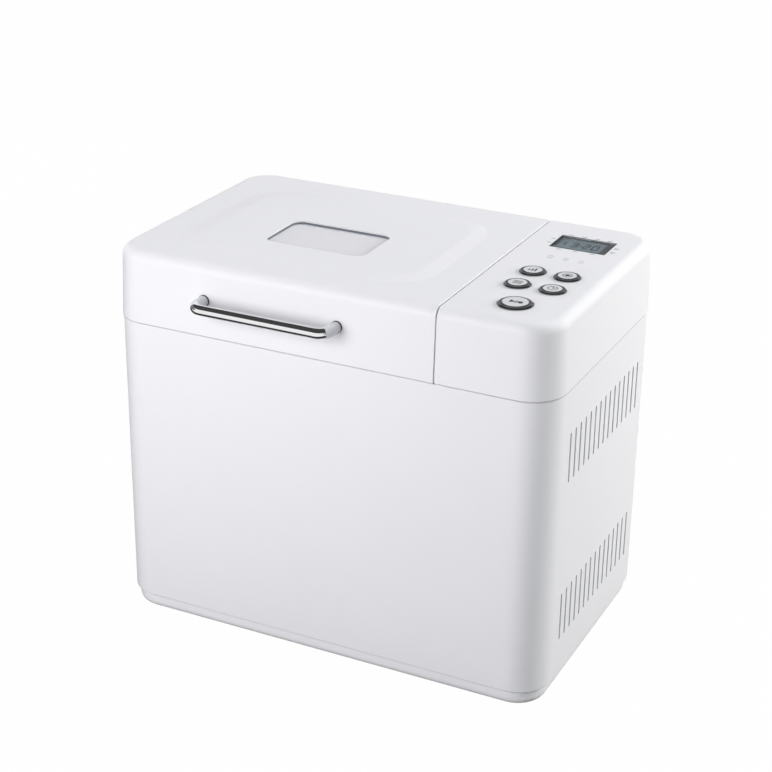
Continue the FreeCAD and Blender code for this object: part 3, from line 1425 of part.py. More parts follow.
# Hinge brackets on the casing's rear wall, each with two ears round a knuckle, and the pins through them
bracket_half = s.hinge_knuckle / 2 + s.seat_gap + s.hinge_ear
plate_top = seam - s.casing_edge - s.hinge_plate
plate_foot = plate_top - s.hinge_drop
barrel_front, barrel_back = hinge_y - s.hinge_barrel / 2, hinge_y + s.hinge_barrel / 2
brackets = new_body("hinge_brackets")
hinge_screw_places = [
    (x + side * s.hinge_knuckle / 2, plate_foot + s.screw_head) for x in hinge_places for side in (-1, 1)
]
for x in hinge_places:
    shape = new_sketch(brackets, "XZ", y=rear_wall)
    rectangle(shape, x - bracket_half, x + bracket_half, plate_foot, plate_top)
    pad(brackets, shape, s.hinge_plate, back=True)
    for start in (x - bracket_half, x + bracket_half - s.hinge_ear):
        shape = new_sketch(brackets, "YZ", x=start)
        outline(shape, [
            (rear_wall, plate_foot + 2 * s.screw_head), (rear_wall, plate_top), (barrel_front, lid_foot),
            (barrel_front, hinge_z), (barrel_back, hinge_z), (barrel_back, lid_foot),
            (rear_wall + s.hinge_plate, plate_foot + 2 * s.screw_head),
        ])
        pad(brackets, shape, s.hinge_ear)
        shape = new_sketch(brackets, "YZ", x=start)
        round_hole(shape, s.hinge_barrel, hinge_y, hinge_z)
        pad(brackets, shape, s.hinge_ear)
for x in hinge_places:
    shape = new_sketch(brackets, "YZ", x=x - bracket_half)
    round_hole(shape, s.hinge_pin + 2 * s.press_gap, hinge_y, hinge_z)
    pocket(brackets, shape, 2 * bracket_half, back=True)
shape = new_sketch(brackets, "XZ", y=rear_wall)
for u, v in hinge_screw_places:
    round_hole(shape, screw_pilot, u, v)
pocket(brackets, shape, s.hinge_plate)
shape = new_sketch(casing, "XZ", y=rear_wall - 2 * s.casing_wall)
for u, v in hinge_screw_places:
    round_hole(shape, screw_pilot, u, v)
pocket(casing, shape, 3 * s.casing_wall)
pins = new_body("hinge_pins")
for x in hinge_places:
    shape = new_sketch(pins, "YZ", x=x - bracket_half)
    round_hole(shape, s.hinge_pin, hinge_y, hinge_z)
    pad(pins, shape, 2 * bracket_half)

# Control housing with its openings for the display and the buttons
display_x = housing_x - s.display_shift
display_row = lid_depth / 2 - s.display_margin
start_row = lid_front + s.start_margin
front_row = start_row + s.start_pitch
rear_row = front_row + s.row_pitch
housing = upper_shell("control_housing", housing_left, housing_right, housing_left)
soften(housing, s.lid_edge - s.lid_wall, at_level(lid_ceiling))
shell_edges(housing, housing_left)
buttons = [
    ("button_rear_left", s.small_button, s.small_bezel, -s.button_column, rear_row),
    ("button_rear_right", s.small_button, s.small_bezel, s.button_column, rear_row),
    ("button_front_left", s.small_button, s.small_bezel, -s.button_column, front_row),
    ("button_front_right", s.small_button, s.small_bezel, s.button_column, front_row),
    ("start_button", s.large_button, s.large_bezel, as_size(0), start_row),
]
board_top = lid_ceiling - s.board_drop
board_half_width = s.control_width / 2 - s.board_margin
board_half_depth = s.casing_depth / 2 - s.housing_boss_margin - s.housing_boss
board_bosses = corners_of(board_half_width - s.board_boss, board_half_depth - s.board_boss)
shape = new_sketch(housing, "XY", z=deck_top)
for u, v in housing_screws:
    round_hole(shape, s.housing_boss, u, v)
pad(housing, shape, lid_ceiling + s.lid_wall / 2 - deck_top)
shape = new_sketch(housing, "XY", z=board_top)
for u, v in board_bosses:
    round_hole(shape, s.board_boss, housing_x + u, v)
pad(housing, shape, s.board_drop + s.lid_wall / 2)
shape = new_sketch(housing, "XY", z=deck_top)
for u, v in housing_screws:
    round_hole(shape, screw_pilot, u, v)
pocket(housing, shape, s.screw_grip, back=True)
shape = new_sketch(housing, "XY", z=lid_top)
for _, cap, _, u, v in buttons:
    round_hole(shape, cap + 2 * (s.seat_gap + s.bezel_wall + s.press_gap), housing_x + u, v)
rounded(
    shape, s.display_width + 2 * s.press_gap, s.display_depth + 2 * s.press_gap, s.display_corner,
    display_x, display_row,
)
pocket(housing, shape, 2 * s.lid_wall)

# Chromed rings round the buttons, each with a spigot through the panel
bezels = new_body("button_bezels")
for _, cap, ring, u, v in buttons:
    inner, outer = cap / 2 + s.seat_gap, ring / 2
    spigot = inner + s.bezel_wall
    crest = lid_top + s.bezel_height
    shape = new_sketch(bezels, "XZ", x=housing_x + u, y=v)
    outline(shape, [
        (inner, lid_ceiling), (spigot, lid_ceiling), (spigot, lid_top), (outer, lid_top),
        (outer, lid_top + s.bezel_rim), (spigot, crest), (inner, crest),
    ])
    revolve(bezels, shape)

# Buttons: a cap in the ring, a collar below the panel and a stem above its switch
plunger_top = board_top + s.switch_height + s.switch_plunger
collar_top = lid_ceiling - s.seat_gap
for label, cap, _, u, v in buttons:
    button = new_body(label, x=housing_x + u, y=v)
    radius, stem = cap / 2, s.button_stem / 2
    collar = radius + s.button_flange_lap
    stem_foot = plunger_top + s.button_travel + s.seat_gap
    shape = new_sketch(button, "XZ")
    outline(shape, [
        (0, stem_foot), (stem, stem_foot), (stem, collar_top - s.button_flange),
        (collar, collar_top - s.button_flange), (collar, collar_top), (radius, collar_top),
        (radius, lid_top + s.button_proud), (0, lid_top + s.button_proud),
    ])
    revolve(button, shape)
    soften(button, s.button_flange / 2, at_level(lid_top + s.button_proud))

# Control board below the panel, with one switch for each button
board = new_body("control_board", x=housing_x)
shape = new_sketch(board, "XY", z=board_top)
rectangle(shape, -board_half_width, board_half_width, -board_half_depth, board_half_depth)
pad(board, shape, s.board_thickness, back=True)
switches = new_body("button_switches", x=housing_x)
for _, _, _, u, v in buttons:
    shape = new_sketch(switches, "XY", x=u, y=v, z=board_top)
    rounded(shape, s.switch_side, s.switch_side, s.switch_corner)
    pad(switches, shape, s.switch_height)
    shape = new_sketch(switches, "XY", x=u, y=v, z=board_top + s.switch_height)
    round_hole(shape, s.switch_side / 2)
    pad(switches, shape, s.switch_plunger)

# Display: a clear window in the panel above the display module
display = new_body("display_window", x=display_x, y=display_row)
shape = new_sketch(display, "XY", z=lid_ceiling - s.display_flange)
flange_lap = 2 * s.display_lap
rounded(shape, s.display_width + flange_lap, s.display_depth + flange_lap, s.display_corner)
pad(display, shape, s.display_flange)
shape = new_sketch(display, "XY", z=lid_ceiling)
rounded(shape, s.display_width, s.display_depth, s.display_corner)
pad(display, shape, s.lid_wall)
module = new_body("display_module", x=display_x, y=display_row)
shape = new_sketch(module, "XY", z=board_top)
rounded(shape, s.display_width + s.display_lap, s.display_depth + s.display_lap, s.display_corner)
pad(module, shape, s.board_drop - s.display_flange - s.seat_gap)

# Power board on the posts of the rear wall, with its components
board_rear = rear_inside - s.power_post_length
board_front = board_rear - s.board_thickness
power_board = new_body("power_board", x=board_x, z=board_z)
shape = new_sketch(power_board, "XZ", y=board_rear)
rectangle(
    shape, -board_width / 2, board_width / 2,
    -s.power_board_height / 2, s.power_board_height / 2,
)
pad(power_board, shape, s.board_thickness)
parts_on_board = new_body("power_components", x=board_x, z=board_z)
column = board_width / 4
shape = new_sketch(parts_on_board, "XZ", y=board_front)
rounded(shape, s.transformer_side, s.transformer_side, s.display_corner, -column / 2, s.component_row)
pad(parts_on_board, shape, s.transformer_side)
for place in (-1, 1):
    shape = new_sketch(parts_on_board, "XZ", y=board_front)
    rounded(shape, s.relay_width, s.relay_height, s.display_corner, place * column, -s.relay_row)
    pad(parts_on_board, shape, s.relay_width)
shape = new_sketch(parts_on_board, "XZ", y=board_front)
round_hole(shape, s.coil_diameter, column + s.coil_diameter / 4, s.component_row)
pad(parts_on_board, shape, s.coil_length)

# Fasteners
screw_set("base_screws", "XY", "z", base_screw_seat, boss_places, tray_rim)
screw_set("housing_screws", "XY", "z", deck_under, housing_screws, s.screw_grip)
screw_set("lid_screws", "XY", "z", liner_foot, lid_screw_places, s.screw_grip)
head_seat = front_face + s.lid_wall + wall_lean * s.screw_head / 2 + s.press_gap
screw_set("handle_screws", "XZ", "y", head_seat, post_places, s.screw_grip)
hinge_grip = s.hinge_plate + 2 * s.casing_wall
screw_set("hinge_screws", "XZ", "y", rear_wall + s.hinge_plate, hinge_screw_places, hinge_grip)

# Every object and every solid is checked before anything is written
doc.recompute()
for item in doc.Objects:
    if "Invalid" in item.State or "Error" in item.State:
        raise RuntimeError(f"{item.Label} failed: {item.getStatusString()}")
for node in nodes:
    if node.Shape.isNull() or not node.Shape.isValid():
        raise RuntimeError(f"{node.Label} has no valid shape")
os.makedirs("parts", exist_ok=True)
for node in nodes:
    node.Shape.exportStep(f"parts/{node.Label}.step")
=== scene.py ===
import math

import bpy
from mathutils import Matrix, Vector


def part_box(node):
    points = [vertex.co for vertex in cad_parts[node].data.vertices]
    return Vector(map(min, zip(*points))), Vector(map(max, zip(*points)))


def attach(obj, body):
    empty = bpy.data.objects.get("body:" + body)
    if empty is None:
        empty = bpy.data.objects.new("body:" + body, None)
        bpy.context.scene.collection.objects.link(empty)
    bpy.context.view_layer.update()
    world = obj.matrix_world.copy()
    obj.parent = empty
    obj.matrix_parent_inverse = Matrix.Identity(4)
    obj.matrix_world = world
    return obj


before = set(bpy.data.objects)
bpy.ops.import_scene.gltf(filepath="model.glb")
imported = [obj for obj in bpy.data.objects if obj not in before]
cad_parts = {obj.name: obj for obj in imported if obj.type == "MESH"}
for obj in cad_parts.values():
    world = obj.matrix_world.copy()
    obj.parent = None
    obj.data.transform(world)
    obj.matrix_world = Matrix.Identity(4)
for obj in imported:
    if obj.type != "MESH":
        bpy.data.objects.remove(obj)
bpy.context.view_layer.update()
scene = bpy.context.scene
scene.view_settings.view_transform = "Standard"

# The viewpoint
# A short telephoto lens to the right of the machine and above it, with a very slight roll,
# at the place that the casing's edges in the picture give.
LENS_LENGTH, SENSOR_WIDTH, VIEW_RANGE = 84.314, 36, 20
LENS_PLACE = (0.549563, -1.135583, 0.741993)
azimuth, elevation, roll = (math.radians(angle) for angle in (25.742, 23.865, 0.789))
back = Vector((
    math.sin(azimuth) * math.cos(elevation),
    -math.cos(azimuth) * math.cos(elevation),
    math.sin(elevation),
))
right = Vector((math.cos(azimuth), math.sin(azimuth), 0))
up = back.cross(right)
rolled_right = right * math.cos(roll) + up * math.sin(roll)
rolled_up = up * math.cos(roll) - right * math.sin(roll)
lens = bpy.data.cameras.new("viewpoint")
lens.sensor_width = SENSOR_WIDTH
lens.lens = LENS_LENGTH
lens.clip_end = VIEW_RANGE
viewpoint = bpy.data.objects.new("viewpoint", lens)
scene.collection.objects.link(viewpoint)
turned = Matrix((rolled_right, rolled_up, back)).transposed().to_4x4()
viewpoint.matrix_world = Matrix.Translation(LENS_PLACE) @ turned
scene.camera = viewpoint


# The studio
# A plain white floor in a white room, a large soft lamp in front on the left, a second one
# behind on the right, and two weaker ones overhead and behind on the left.
def add_node(tree, kind, sockets=None, **settings):
    """Adds a shader node; a socket's value is a constant or another node's output."""
    node = tree.nodes.new(kind)
    for key, value in settings.items():
        setattr(node, key, value)
    for key, value in (sockets or {}).items():
        if isinstance(value, bpy.types.NodeSocket):
            tree.links.new(value, node.inputs[key])
        else:
            node.inputs[key].default_value = value
    return node


def reckon(tree, operation, *values):
    node = add_node(tree, "ShaderNodeMath", dict(enumerate(values)), operation=operation)
    return node.outputs[0]


def ramp(tree, value, start, end, first, last):
    node = add_node(tree, "ShaderNodeMapRange", {
        "Value": value, "From Min": start, "From Max": end, "To Min": first, "To Max": last,
    })
    return node.outputs[0]


def soft_lamp(name, place, target, size, power, tint):
    lamp = bpy.data.lights.new(name, "AREA")
    lamp.shape = "DISK"
    lamp.size = size
    lamp.energy = power
    lamp.color = tint
    holder = bpy.data.objects.new(name, lamp)
    holder.location = place
    aim = Vector(target) - Vector(place)
    holder.rotation_euler = aim.to_track_quat("-Z", "Y").to_euler()
    holder.visible_camera = False
    holder.visible_glossy = False
    scene.collection.objects.link(holder)


COOL, NEUTRAL = (0.99, 0.965, 1.0), (1.0, 0.985, 0.985)
soft_lamp("front_lamp", (-0.25, -0.98, 0.5), (-0.05, -0.1, 0.2), 0.83, 10.0, COOL)
soft_lamp("side_lamp", (1.38, 0.84, 0.75), (0.17, 0.0, 0.17), 0.8, 32.0, NEUTRAL)
soft_lamp("top_lamp", (-0.1, 0.45, 1.6), (0, 0, 0.3), 0.9, 8.6, COOL)
soft_lamp("left_lamp", (-1.3, 0.75, 0.66), (-0.1, 0.0, 0.28), 0.8, 11.0, COOL)


def white_rays(tree):
    """Light Path, and a mask of the rays that see or mirror the white surroundings."""
    rays = add_node(tree, "ShaderNodeLightPath").outputs
    seen = reckon(tree, "MAXIMUM", rays["Is Camera Ray"], rays["Is Transmission Ray"])
    return rays, reckon(tree, "MAXIMUM", seen, rays["Is Glossy Ray"])


def dim_mirrored(tree, rays, strength):
    """Full strength to the eye, and the given strength as polished pieces mirror it."""
    node = add_node(tree, "ShaderNodeMix", {
        "Factor": rays["Is Glossy Ray"], "A": 1.0, "B": strength,
    })
    return node.outputs[0]


WHITE, DAYLIGHT_TINT, DAYLIGHT = (1, 1, 1, 1), (0.82, 0.98, 1, 1), 0.16
room = bpy.data.worlds.new("white_room")
room.use_nodes = True
tree = room.node_tree
tree.nodes.clear()
rays, white = white_rays(tree)
# Polished pieces mirror a white wall behind the viewer, a dark ceiling and grey other walls
way = add_node(tree, "ShaderNodeTexCoord")
split = add_node(tree, "ShaderNodeSeparateXYZ", {0: way.outputs["Generated"]})
ceiling = ramp(tree, split.outputs["Z"], 0.44, 0.52, 1.0, 0.06)
far_wall = ramp(tree, split.outputs["Y"], 0.0, 0.25, 1.0, 0.3)
sideways = reckon(tree, "ABSOLUTE", split.outputs["X"])
side_walls = ramp(tree, sideways, 0.72, 0.86, 1.0, 0.2)
walls = reckon(tree, "MINIMUM", reckon(tree, "MINIMUM", ceiling, far_wall), side_walls)
backdrop = add_node(tree, "ShaderNodeBackground", {
    "Color": WHITE, "Strength": dim_mirrored(tree, rays, walls),
})
daylight = add_node(tree, "ShaderNodeBackground", {"Color": DAYLIGHT_TINT, "Strength": DAYLIGHT})
mix = add_node(tree, "ShaderNodeMixShader", {
    0: white, 1: daylight.outputs[0], 2: backdrop.outputs[0],
})
add_node(tree, "ShaderNodeOutputWorld", {0: mix.outputs[0]})
scene.world = room


def clear_selection():
    bpy.ops.object.select_all(action="DESELECT")


FLOOR_SIZE, FLOOR_DROP, FLOOR_WHITE, FLOOR_GREY = 8, 0.0001, 0.99, (0.3, 0.3, 0.3, 1)
clear_selection()
bpy.ops.mesh.primitive_plane_add(size=FLOOR_SIZE, location=(0, 0, -FLOOR_DROP))
floor = bpy.context.object
floor.name = "floor"
paper = bpy.data.materials.new("floor_paper")
paper.use_nodes = True
tree = paper.node_tree
tree.nodes.clear()
rays, white = white_rays(tree)
share = reckon(tree, "MULTIPLY", white, FLOOR_WHITE)
matt = add_node(tree, "ShaderNodeBsdfDiffuse", {"Color": FLOOR_GREY})
# Polished pieces mirror a floor that is dark round the machine, as if the machine shaded it,
# white in front and pale behind on the left
way = add_node(tree, "ShaderNodeTexCoord")
split = add_node(tree, "ShaderNodeSeparateXYZ", {0: way.outputs["Object"]})
in_front = ramp(tree, split.outputs["Y"], -0.47, -0.42, 1.0, 0.05)
behind = ramp(tree, split.outputs["Y"], 0.5, 0.65, 0.0, 0.8)
leftward = ramp(tree, split.outputs["X"], 0.05, 0.2, 1.0, 0.0)
pale = reckon(tree, "MAXIMUM", in_front, reckon(tree, "MULTIPLY", behind, leftward))
bright = add_node(tree, "ShaderNodeEmission", {
    "Color": WHITE, "Strength": dim_mirrored(tree, rays, pale),
})
mix = add_node(tree, "ShaderNodeMixShader", {0: share, 1: matt.outputs[0], 2: bright.outputs[0]})
add_node(tree, "ShaderNodeOutputMaterial", {0: mix.outputs[0]})
floor.data.materials.append(paper)


# Moulded shell: casing, base tray, lid cover and control housing
# Injection moulded white plastic with a satin skin: a very fine spark eroded grain, and tone that
# drifts a little over the large walls.
def new_group(name, inputs, outputs):
    group = bpy.data.node_groups.new(name, "ShaderNodeTree")
    for label, kind in inputs:
        group.interface.new_socket(name=label, in_out="INPUT", socket_type=kind)
    for label, kind in outputs:
        group.interface.new_socket(name=label, in_out="OUTPUT", socket_type=kind)
    return group, group.nodes.new("NodeGroupInput"), group.nodes.new("NodeGroupOutput")


def own_place(tree):
    return add_node(tree, "ShaderNodeTexCoord").outputs["Object"]


def clouds(tree, place, scale, detail, roughness=0.5):
    node = add_node(tree, "ShaderNodeTexNoise", {
        "Vector": place, "Scale": scale, "Detail": detail, "Roughness": roughness,
    })
    return node.outputs["Fac"]


def drifted(tree, colour, pattern, amount):
    """The colour, lighter and darker by the amount as the pattern swings about zero."""
    level = reckon(tree, "ADD", reckon(tree, "MULTIPLY", pattern, amount), 1.0)
    node = add_node(tree, "ShaderNodeVectorMath", {0: colour, "Scale": level}, operation="SCALE")
    return node.outputs[0]


COLOUR, NUMBER, ARROW = "NodeSocketColor", "NodeSocketFloat", "NodeSocketVector"
SKIN_OUTPUTS = (("Colour", COLOUR), ("Roughness", NUMBER), ("Height", NUMBER))
DRIFT_SCALE, GRAIN_ON_GLOSS = 14, 0.25
moulded_skin, given, result = new_group(
    "moulded_skin",
    (("Colour", COLOUR), ("Drift", NUMBER), ("Grain", NUMBER), ("Gloss", NUMBER)),
    SKIN_OUTPUTS,
)
place = own_place(moulded_skin)
tone = clouds(moulded_skin, place, DRIFT_SCALE, 3, 0.55)
grain = clouds(moulded_skin, place, given.outputs["Grain"], 2)
pattern = reckon(moulded_skin, "SUBTRACT", tone, 0.5)
toned = drifted(moulded_skin, given.outputs["Colour"], pattern, given.outputs["Drift"])
speck = reckon(moulded_skin, "SUBTRACT", grain, 0.5)
fine = reckon(moulded_skin, "MULTIPLY_ADD", speck, GRAIN_ON_GLOSS, given.outputs["Gloss"])
moulded_skin.links.new(toned, result.inputs["Colour"])
moulded_skin.links.new(fine, result.inputs["Roughness"])
moulded_skin.links.new(grain, result.inputs["Height"])


def new_finish(name, constants=None):
    """A material, its node tree and its shader, with the constants on the shader's sockets."""
    finish = bpy.data.materials.new(name)
    finish.use_nodes = True
    shader = finish.node_tree.nodes["Principled BSDF"]
    for label, value in (constants or {}).items():
        shader.inputs[label].default_value = value
    return finish, finish.node_tree, shader


def dress(finish, *names):
    for name in names:
        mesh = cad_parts[name].data
        mesh.materials.clear()
        mesh.materials.append(finish)


def emboss(tree, shader, height, strength, depth):
    bump = add_node(tree, "ShaderNodeBump", {
        "Height": height, "Strength": strength, "Distance": depth,
    })
    tree.links.new(bump.outputs["Normal"], shader.inputs["Normal"])


def skinned(name, skin_group, values, strength, depth, constants=None):
    """A material whose colour, gloss and grain come from a group with the given values."""
    finish, tree, shader = new_finish(name, constants)
    skin = add_node(tree, "ShaderNodeGroup", node_tree=skin_group)
    for label, value in values.items():
        skin.inputs[label].default_value = value
    tree.links.new(skin.outputs["Colour"], shader.inputs["Base Color"])
    tree.links.new(skin.outputs["Roughness"], shader.inputs["Roughness"])
    emboss(tree, shader, skin.outputs["Height"], strength, depth)
    return finish


MOULD_DEPTH = 0.0002


def moulded(name, colour, drift, grain_scale, gloss, strength=0.12, constants=None):
    values = {"Colour": (*colour, 1), "Drift": drift, "Grain": grain_scale, "Gloss": gloss}
    return skinned(name, moulded_skin, values, strength, MOULD_DEPTH, constants)


shell_white = moulded("shell_white", (0.80, 0.80, 0.81), 0.03, 2600, 0.40, constants={
    "Coat Weight": 0.06, "Coat Roughness": 0.18,
})
dress(shell_white, "outer_casing", "base_tray", "lid_cover", "control_housing")

# Deck, window retainer, hinge brackets and knuckles
# The deck frames the oven mouth under the lid and is moulded in a duller white, as the retainer
# is; the brackets and knuckles are moulded too, and the brackets are screwed to the rear wall.
deck_white = moulded("deck_white", (0.70, 0.70, 0.70), 0.05, 1900, 0.5)
dress(deck_white, "top_deck", "window_retainer")
hinge_white = moulded("hinge_white", (0.76, 0.76, 0.77), 0.04, 2200, 0.42)
dress(hinge_white, "hinge_brackets", "hinge_knuckles")


# Handle
# A chrome plated bar, polished bright, between two pale moulded posts that are screwed on from
# inside the lid.
def hazy_polish(tree, shader, scale, detail, least, most):
    """Lets the roughness drift between two values over the piece."""
    haze = clouds(tree, own_place(tree), scale, detail)
    tree.links.new(ramp(tree, haze, 0, 1, least, most), shader.inputs["Roughness"])


chrome, tree, shader = new_finish("bar_chrome", {
    "Metallic": 1.0, "Base Color": (0.83, 0.83, 0.84, 1),
})
hazy_polish(tree, shader, 160, 4, 0.03, 0.09)
dress(chrome, "handle_bar")
post_pale = moulded("post_pale", (0.74, 0.76, 0.78), 0.05, 2600, 0.34)
dress(post_pale, "handle_posts")

# Button caps and rings
# Each cap is pale silver lacquered plastic in a dark chromed ring that is let into the panel.
KEYS = {
    "button_rear_left": "rear_left_key", "button_rear_right": "rear_right_key",
    "button_front_left": "front_left_key", "button_front_right": "front_right_key",
    "start_button": "start_key",
}
ring_chrome, tree, shader = new_finish("ring_chrome", {
    "Metallic": 1.0, "Base Color": (0.48, 0.485, 0.50, 1),
})
hazy_polish(tree, shader, 420, 3, 0.12, 0.24)
dress(ring_chrome, "button_bezels")
cap_silver = moulded("cap_silver", (0.71, 0.715, 0.73), 0.10, 5200, 0.3, constants={
    "Metallic": 0.1,
})
dress(cap_silver, *KEYS)


# Rims of the caps
# A thin rim of the same dark chrome is pressed over the rounded edge of each cap and goes down
# with it; a closed ring is drawn outwards from its inner edge, down, and back inside the cap.
def set_down(piece):
    """Puts the object's place and size into its mesh."""
    clear_selection()
    piece.select_set(True)
    bpy.context.view_layer.objects.active = piece
    bpy.ops.object.transform_apply(location=True, rotation=True, scale=True)


def fit_piece(name, parts, body, finish):
    """Joins the parts to one piece that rides on the body."""
    clear_selection()
    for part in parts:
        part.select_set(True)
    piece = bpy.context.view_layer.objects.active = parts[0]
    if len(parts) > 1:
        bpy.ops.object.join()
    piece.name = name
    piece.data.name = name
    set_down(piece)
    piece.data.materials.clear()
    piece.data.materials.append(finish)
    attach(piece, body)


PRINT_DEPTH, PROUD = 0.00012, 0.00002
RIM_LAP, RIM_ROOT, RIM_STEPS, RIM_CORNERS = 0.0004, 0.0003, 6, 96
CAP_ROUND, CAP_FLANGE, SMOOTH_ANGLE = 0.00075, 0.0015, math.radians(50)
for cap, body in KEYS.items():
    low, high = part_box(cap)
    centre = Vector(((low[0] + high[0]) / 2, (low[1] + high[1]) / 2, high[2]))
    flat = (high[0] - low[0]) / 2 - CAP_FLANGE - CAP_ROUND
    reach = CAP_ROUND + PROUD
    outline = [(flat - RIM_LAP, PROUD)]
    for step in range(RIM_STEPS + 1):
        angle = math.pi / 2 * (1 - step / RIM_STEPS)
        outline.append((flat + reach * math.cos(angle), reach * math.sin(angle) - CAP_ROUND))
    outline += [(flat, -CAP_ROUND), (flat - RIM_LAP, -RIM_ROOT)]
    clear_selection()
    radius, height = outline[0]
    bpy.ops.mesh.primitive_circle_add(
        vertices=RIM_CORNERS, radius=radius, location=centre + Vector((0, 0, height))
    )
    rim = bpy.context.object
    set_down(rim)
    bpy.ops.object.mode_set(mode="EDIT")
    bpy.ops.mesh.select_mode(type="EDGE")
    bpy.ops.mesh.select_all(action="SELECT")
    for next_radius, next_height in outline[1:]:
        bpy.ops.mesh.extrude_region_move(
            TRANSFORM_OT_translate={"value": (0, 0, next_height - height)}
        )
        grow = next_radius / radius
        bpy.ops.transform.resize(value=(grow, grow, 1), center_override=centre)
        radius, height = next_radius, next_height
    bpy.ops.mesh.select_all(action="DESELECT")
    bpy.ops.mesh.select_non_manifold()
    bpy.ops.mesh.bridge_edge_loops()
    bpy.ops.mesh.select_all(action="SELECT")
    bpy.ops.mesh.normals_make_consistent(inside=False)
    bpy.ops.object.mode_set(mode="OBJECT")
    bpy.ops.object.shade_smooth_by_angle(angle=SMOOTH_ANGLE)
    fit_piece(f"rim_{body}", [rim], body, ring_chrome)


# Signs on the caps
# One plain sign for each cap, printed in dark ink; the strokes are let into the cap and stand a
# hair above it.
def thicken(depth, way=(0, 0, 1)):
    """Raises the flat mesh in hand to a closed plate and leaves edit mode."""
    bpy.ops.mesh.select_all(action="SELECT")
    bpy.ops.mesh.extrude_region_move(TRANSFORM_OT_translate={"value": Vector(way) * depth})
    bpy.ops.mesh.select_all(action="SELECT")
    bpy.ops.mesh.normals_make_consistent(inside=False)
    bpy.ops.object.mode_set(mode="OBJECT")


def flat_plate(place, length, width, turn=(0, 0, 0)):
    """A flat rectangle at its size and place, in edit mode."""
    clear_selection()
    bpy.ops.mesh.primitive_plane_add(size=1, location=place, rotation=turn)
    plate = bpy.context.object
    plate.scale = (length, width, 1)
    set_down(plate)
    bpy.ops.object.mode_set(mode="EDIT")
    return plate


def flat_disc(place, radius, corners, turn=0.0):
    """A flat disc, or a small flat shape with few corners, in edit mode."""
    clear_selection()
    bpy.ops.mesh.primitive_circle_add(
        vertices=corners, radius=radius, fill_type="NGON", location=place, rotation=(0, 0, turn)
    )
    disc = bpy.context.object
    set_down(disc)
    bpy.ops.object.mode_set(mode="EDIT")
    return disc


def round_corners(radius, segments):
    bpy.ops.mesh.select_all(action="SELECT")
    bpy.ops.mesh.bevel(offset=radius, affect="VERTICES", segments=segments)


def hollow_out(width):
    """Cuts the middle out of the flat face in hand and leaves a frame of this width."""
    bpy.ops.mesh.select_mode(type="FACE")
    bpy.ops.mesh.select_all(action="SELECT")
    bpy.ops.mesh.inset(thickness=width)
    bpy.ops.mesh.delete(type="FACE")


CORNER_CUT, RING_CORNERS, DOT_CORNERS = 0.22, 40, 24


def ink_bar(length, width, place, turn=0.0):
    """A printed stroke with cut corners."""
    bar = flat_plate(place, length, width, (0, 0, turn))
    round_corners(width * CORNER_CUT, 1)
    thicken(PRINT_DEPTH)
    return bar


def ink_ring(radius, width, place):
    """A printed circle."""
    ring = flat_disc(place, radius, RING_CORNERS)
    hollow_out(width)
    thicken(PRINT_DEPTH)
    return ring


def ink_dot(radius, place, corners=DOT_CORNERS, turn=0.0):
    """A printed dot, or a small filled sign with few corners."""
    dot = flat_disc(place, radius, corners, turn)
    thicken(PRINT_DEPTH)
    return dot


def beside(centre, across, along):
    return (centre[0] + across, centre[1] + along, centre[2])


ink = moulded("cap_ink", (0.045, 0.047, 0.055), 0.2, 6000, 0.45)


def print_on_cap(name, cap, draw):
    low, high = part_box(cap)
    bed = high[2] - PRINT_DEPTH + PROUD
    strokes = draw(((low[0] + high[0]) / 2, (low[1] + high[1]) / 2, bed))
    fit_piece(name, strokes, KEYS[cap], ink)


# Loaf size: three bars that rise from one line
BAR_WIDTH, BAR_STEP, BAR_LENGTHS = 0.0011, 0.0022, (0.0032, 0.0044, 0.0056)
print_on_cap("sign_loaf_size", "button_rear_left", lambda top: [
    ink_bar(BAR_WIDTH, length, beside(top, BAR_STEP * shift, (length - BAR_LENGTHS[-1]) / 2))
    for shift, length in zip((-1, 0, 1), BAR_LENGTHS)
])
# Crust: a ring with a filled heart
SIGN_RADIUS, SIGN_STROKE, HEART_RADIUS = 0.0036, 0.0006, 0.0018
print_on_cap("sign_crust", "button_rear_right", lambda top: [
    ink_ring(SIGN_RADIUS, SIGN_STROKE, top), ink_dot(HEART_RADIUS, top),
])
# Programme list: three lines
LINE_LENGTH, LINE_WIDTH, LINE_STEP = 0.0066, 0.0009, 0.0022
print_on_cap("sign_programmes", "button_front_left", lambda top: [
    ink_bar(LINE_LENGTH, LINE_WIDTH, beside(top, 0, LINE_STEP * shift)) for shift in (-1, 0, 1)
])
# Clock: a ring with two hands
HAND_WIDTH, LONG_HAND, SHORT_HAND = 0.0008, 0.0027, 0.0021
print_on_cap("sign_clock", "button_front_right", lambda top: [
    ink_ring(SIGN_RADIUS, SIGN_STROKE, top),
    ink_bar(HAND_WIDTH, LONG_HAND, beside(top, 0, 0.0012)),
    ink_bar(SHORT_HAND, HAND_WIDTH, beside(top, 0.0009, 0)),
])
# Start and stop: an arrow head, a line and a square
ARROW_RADIUS, PARTING_LINE, SQUARE_SIDE = 0.0028, 0.0050, 0.0036
print_on_cap("sign_start", "start_button", lambda top: [
    ink_dot(ARROW_RADIUS, beside(top, -0.0027, 0), corners=3, turn=-math.pi / 2),
    ink_bar(HAND_WIDTH, PARTING_LINE, beside(top, 0.0005, 0)),
    ink_bar(SQUARE_SIDE, SQUARE_SIDE, beside(top, 0.0035, 0)),
])


# Display
# A clear window lies flush in the panel; under it is a liquid crystal cell with a dark frame, a
# grey blue field and dark segments.
def blend(tree, factor, first, second):
    node = add_node(tree, "ShaderNodeMix", {
        "Factor": factor, "A": (*first, 1) if isinstance(first, tuple) else first,
        "B": (*second, 1) if isinstance(second, tuple) else second,
    }, data_type="RGBA")
    return node.outputs[2]


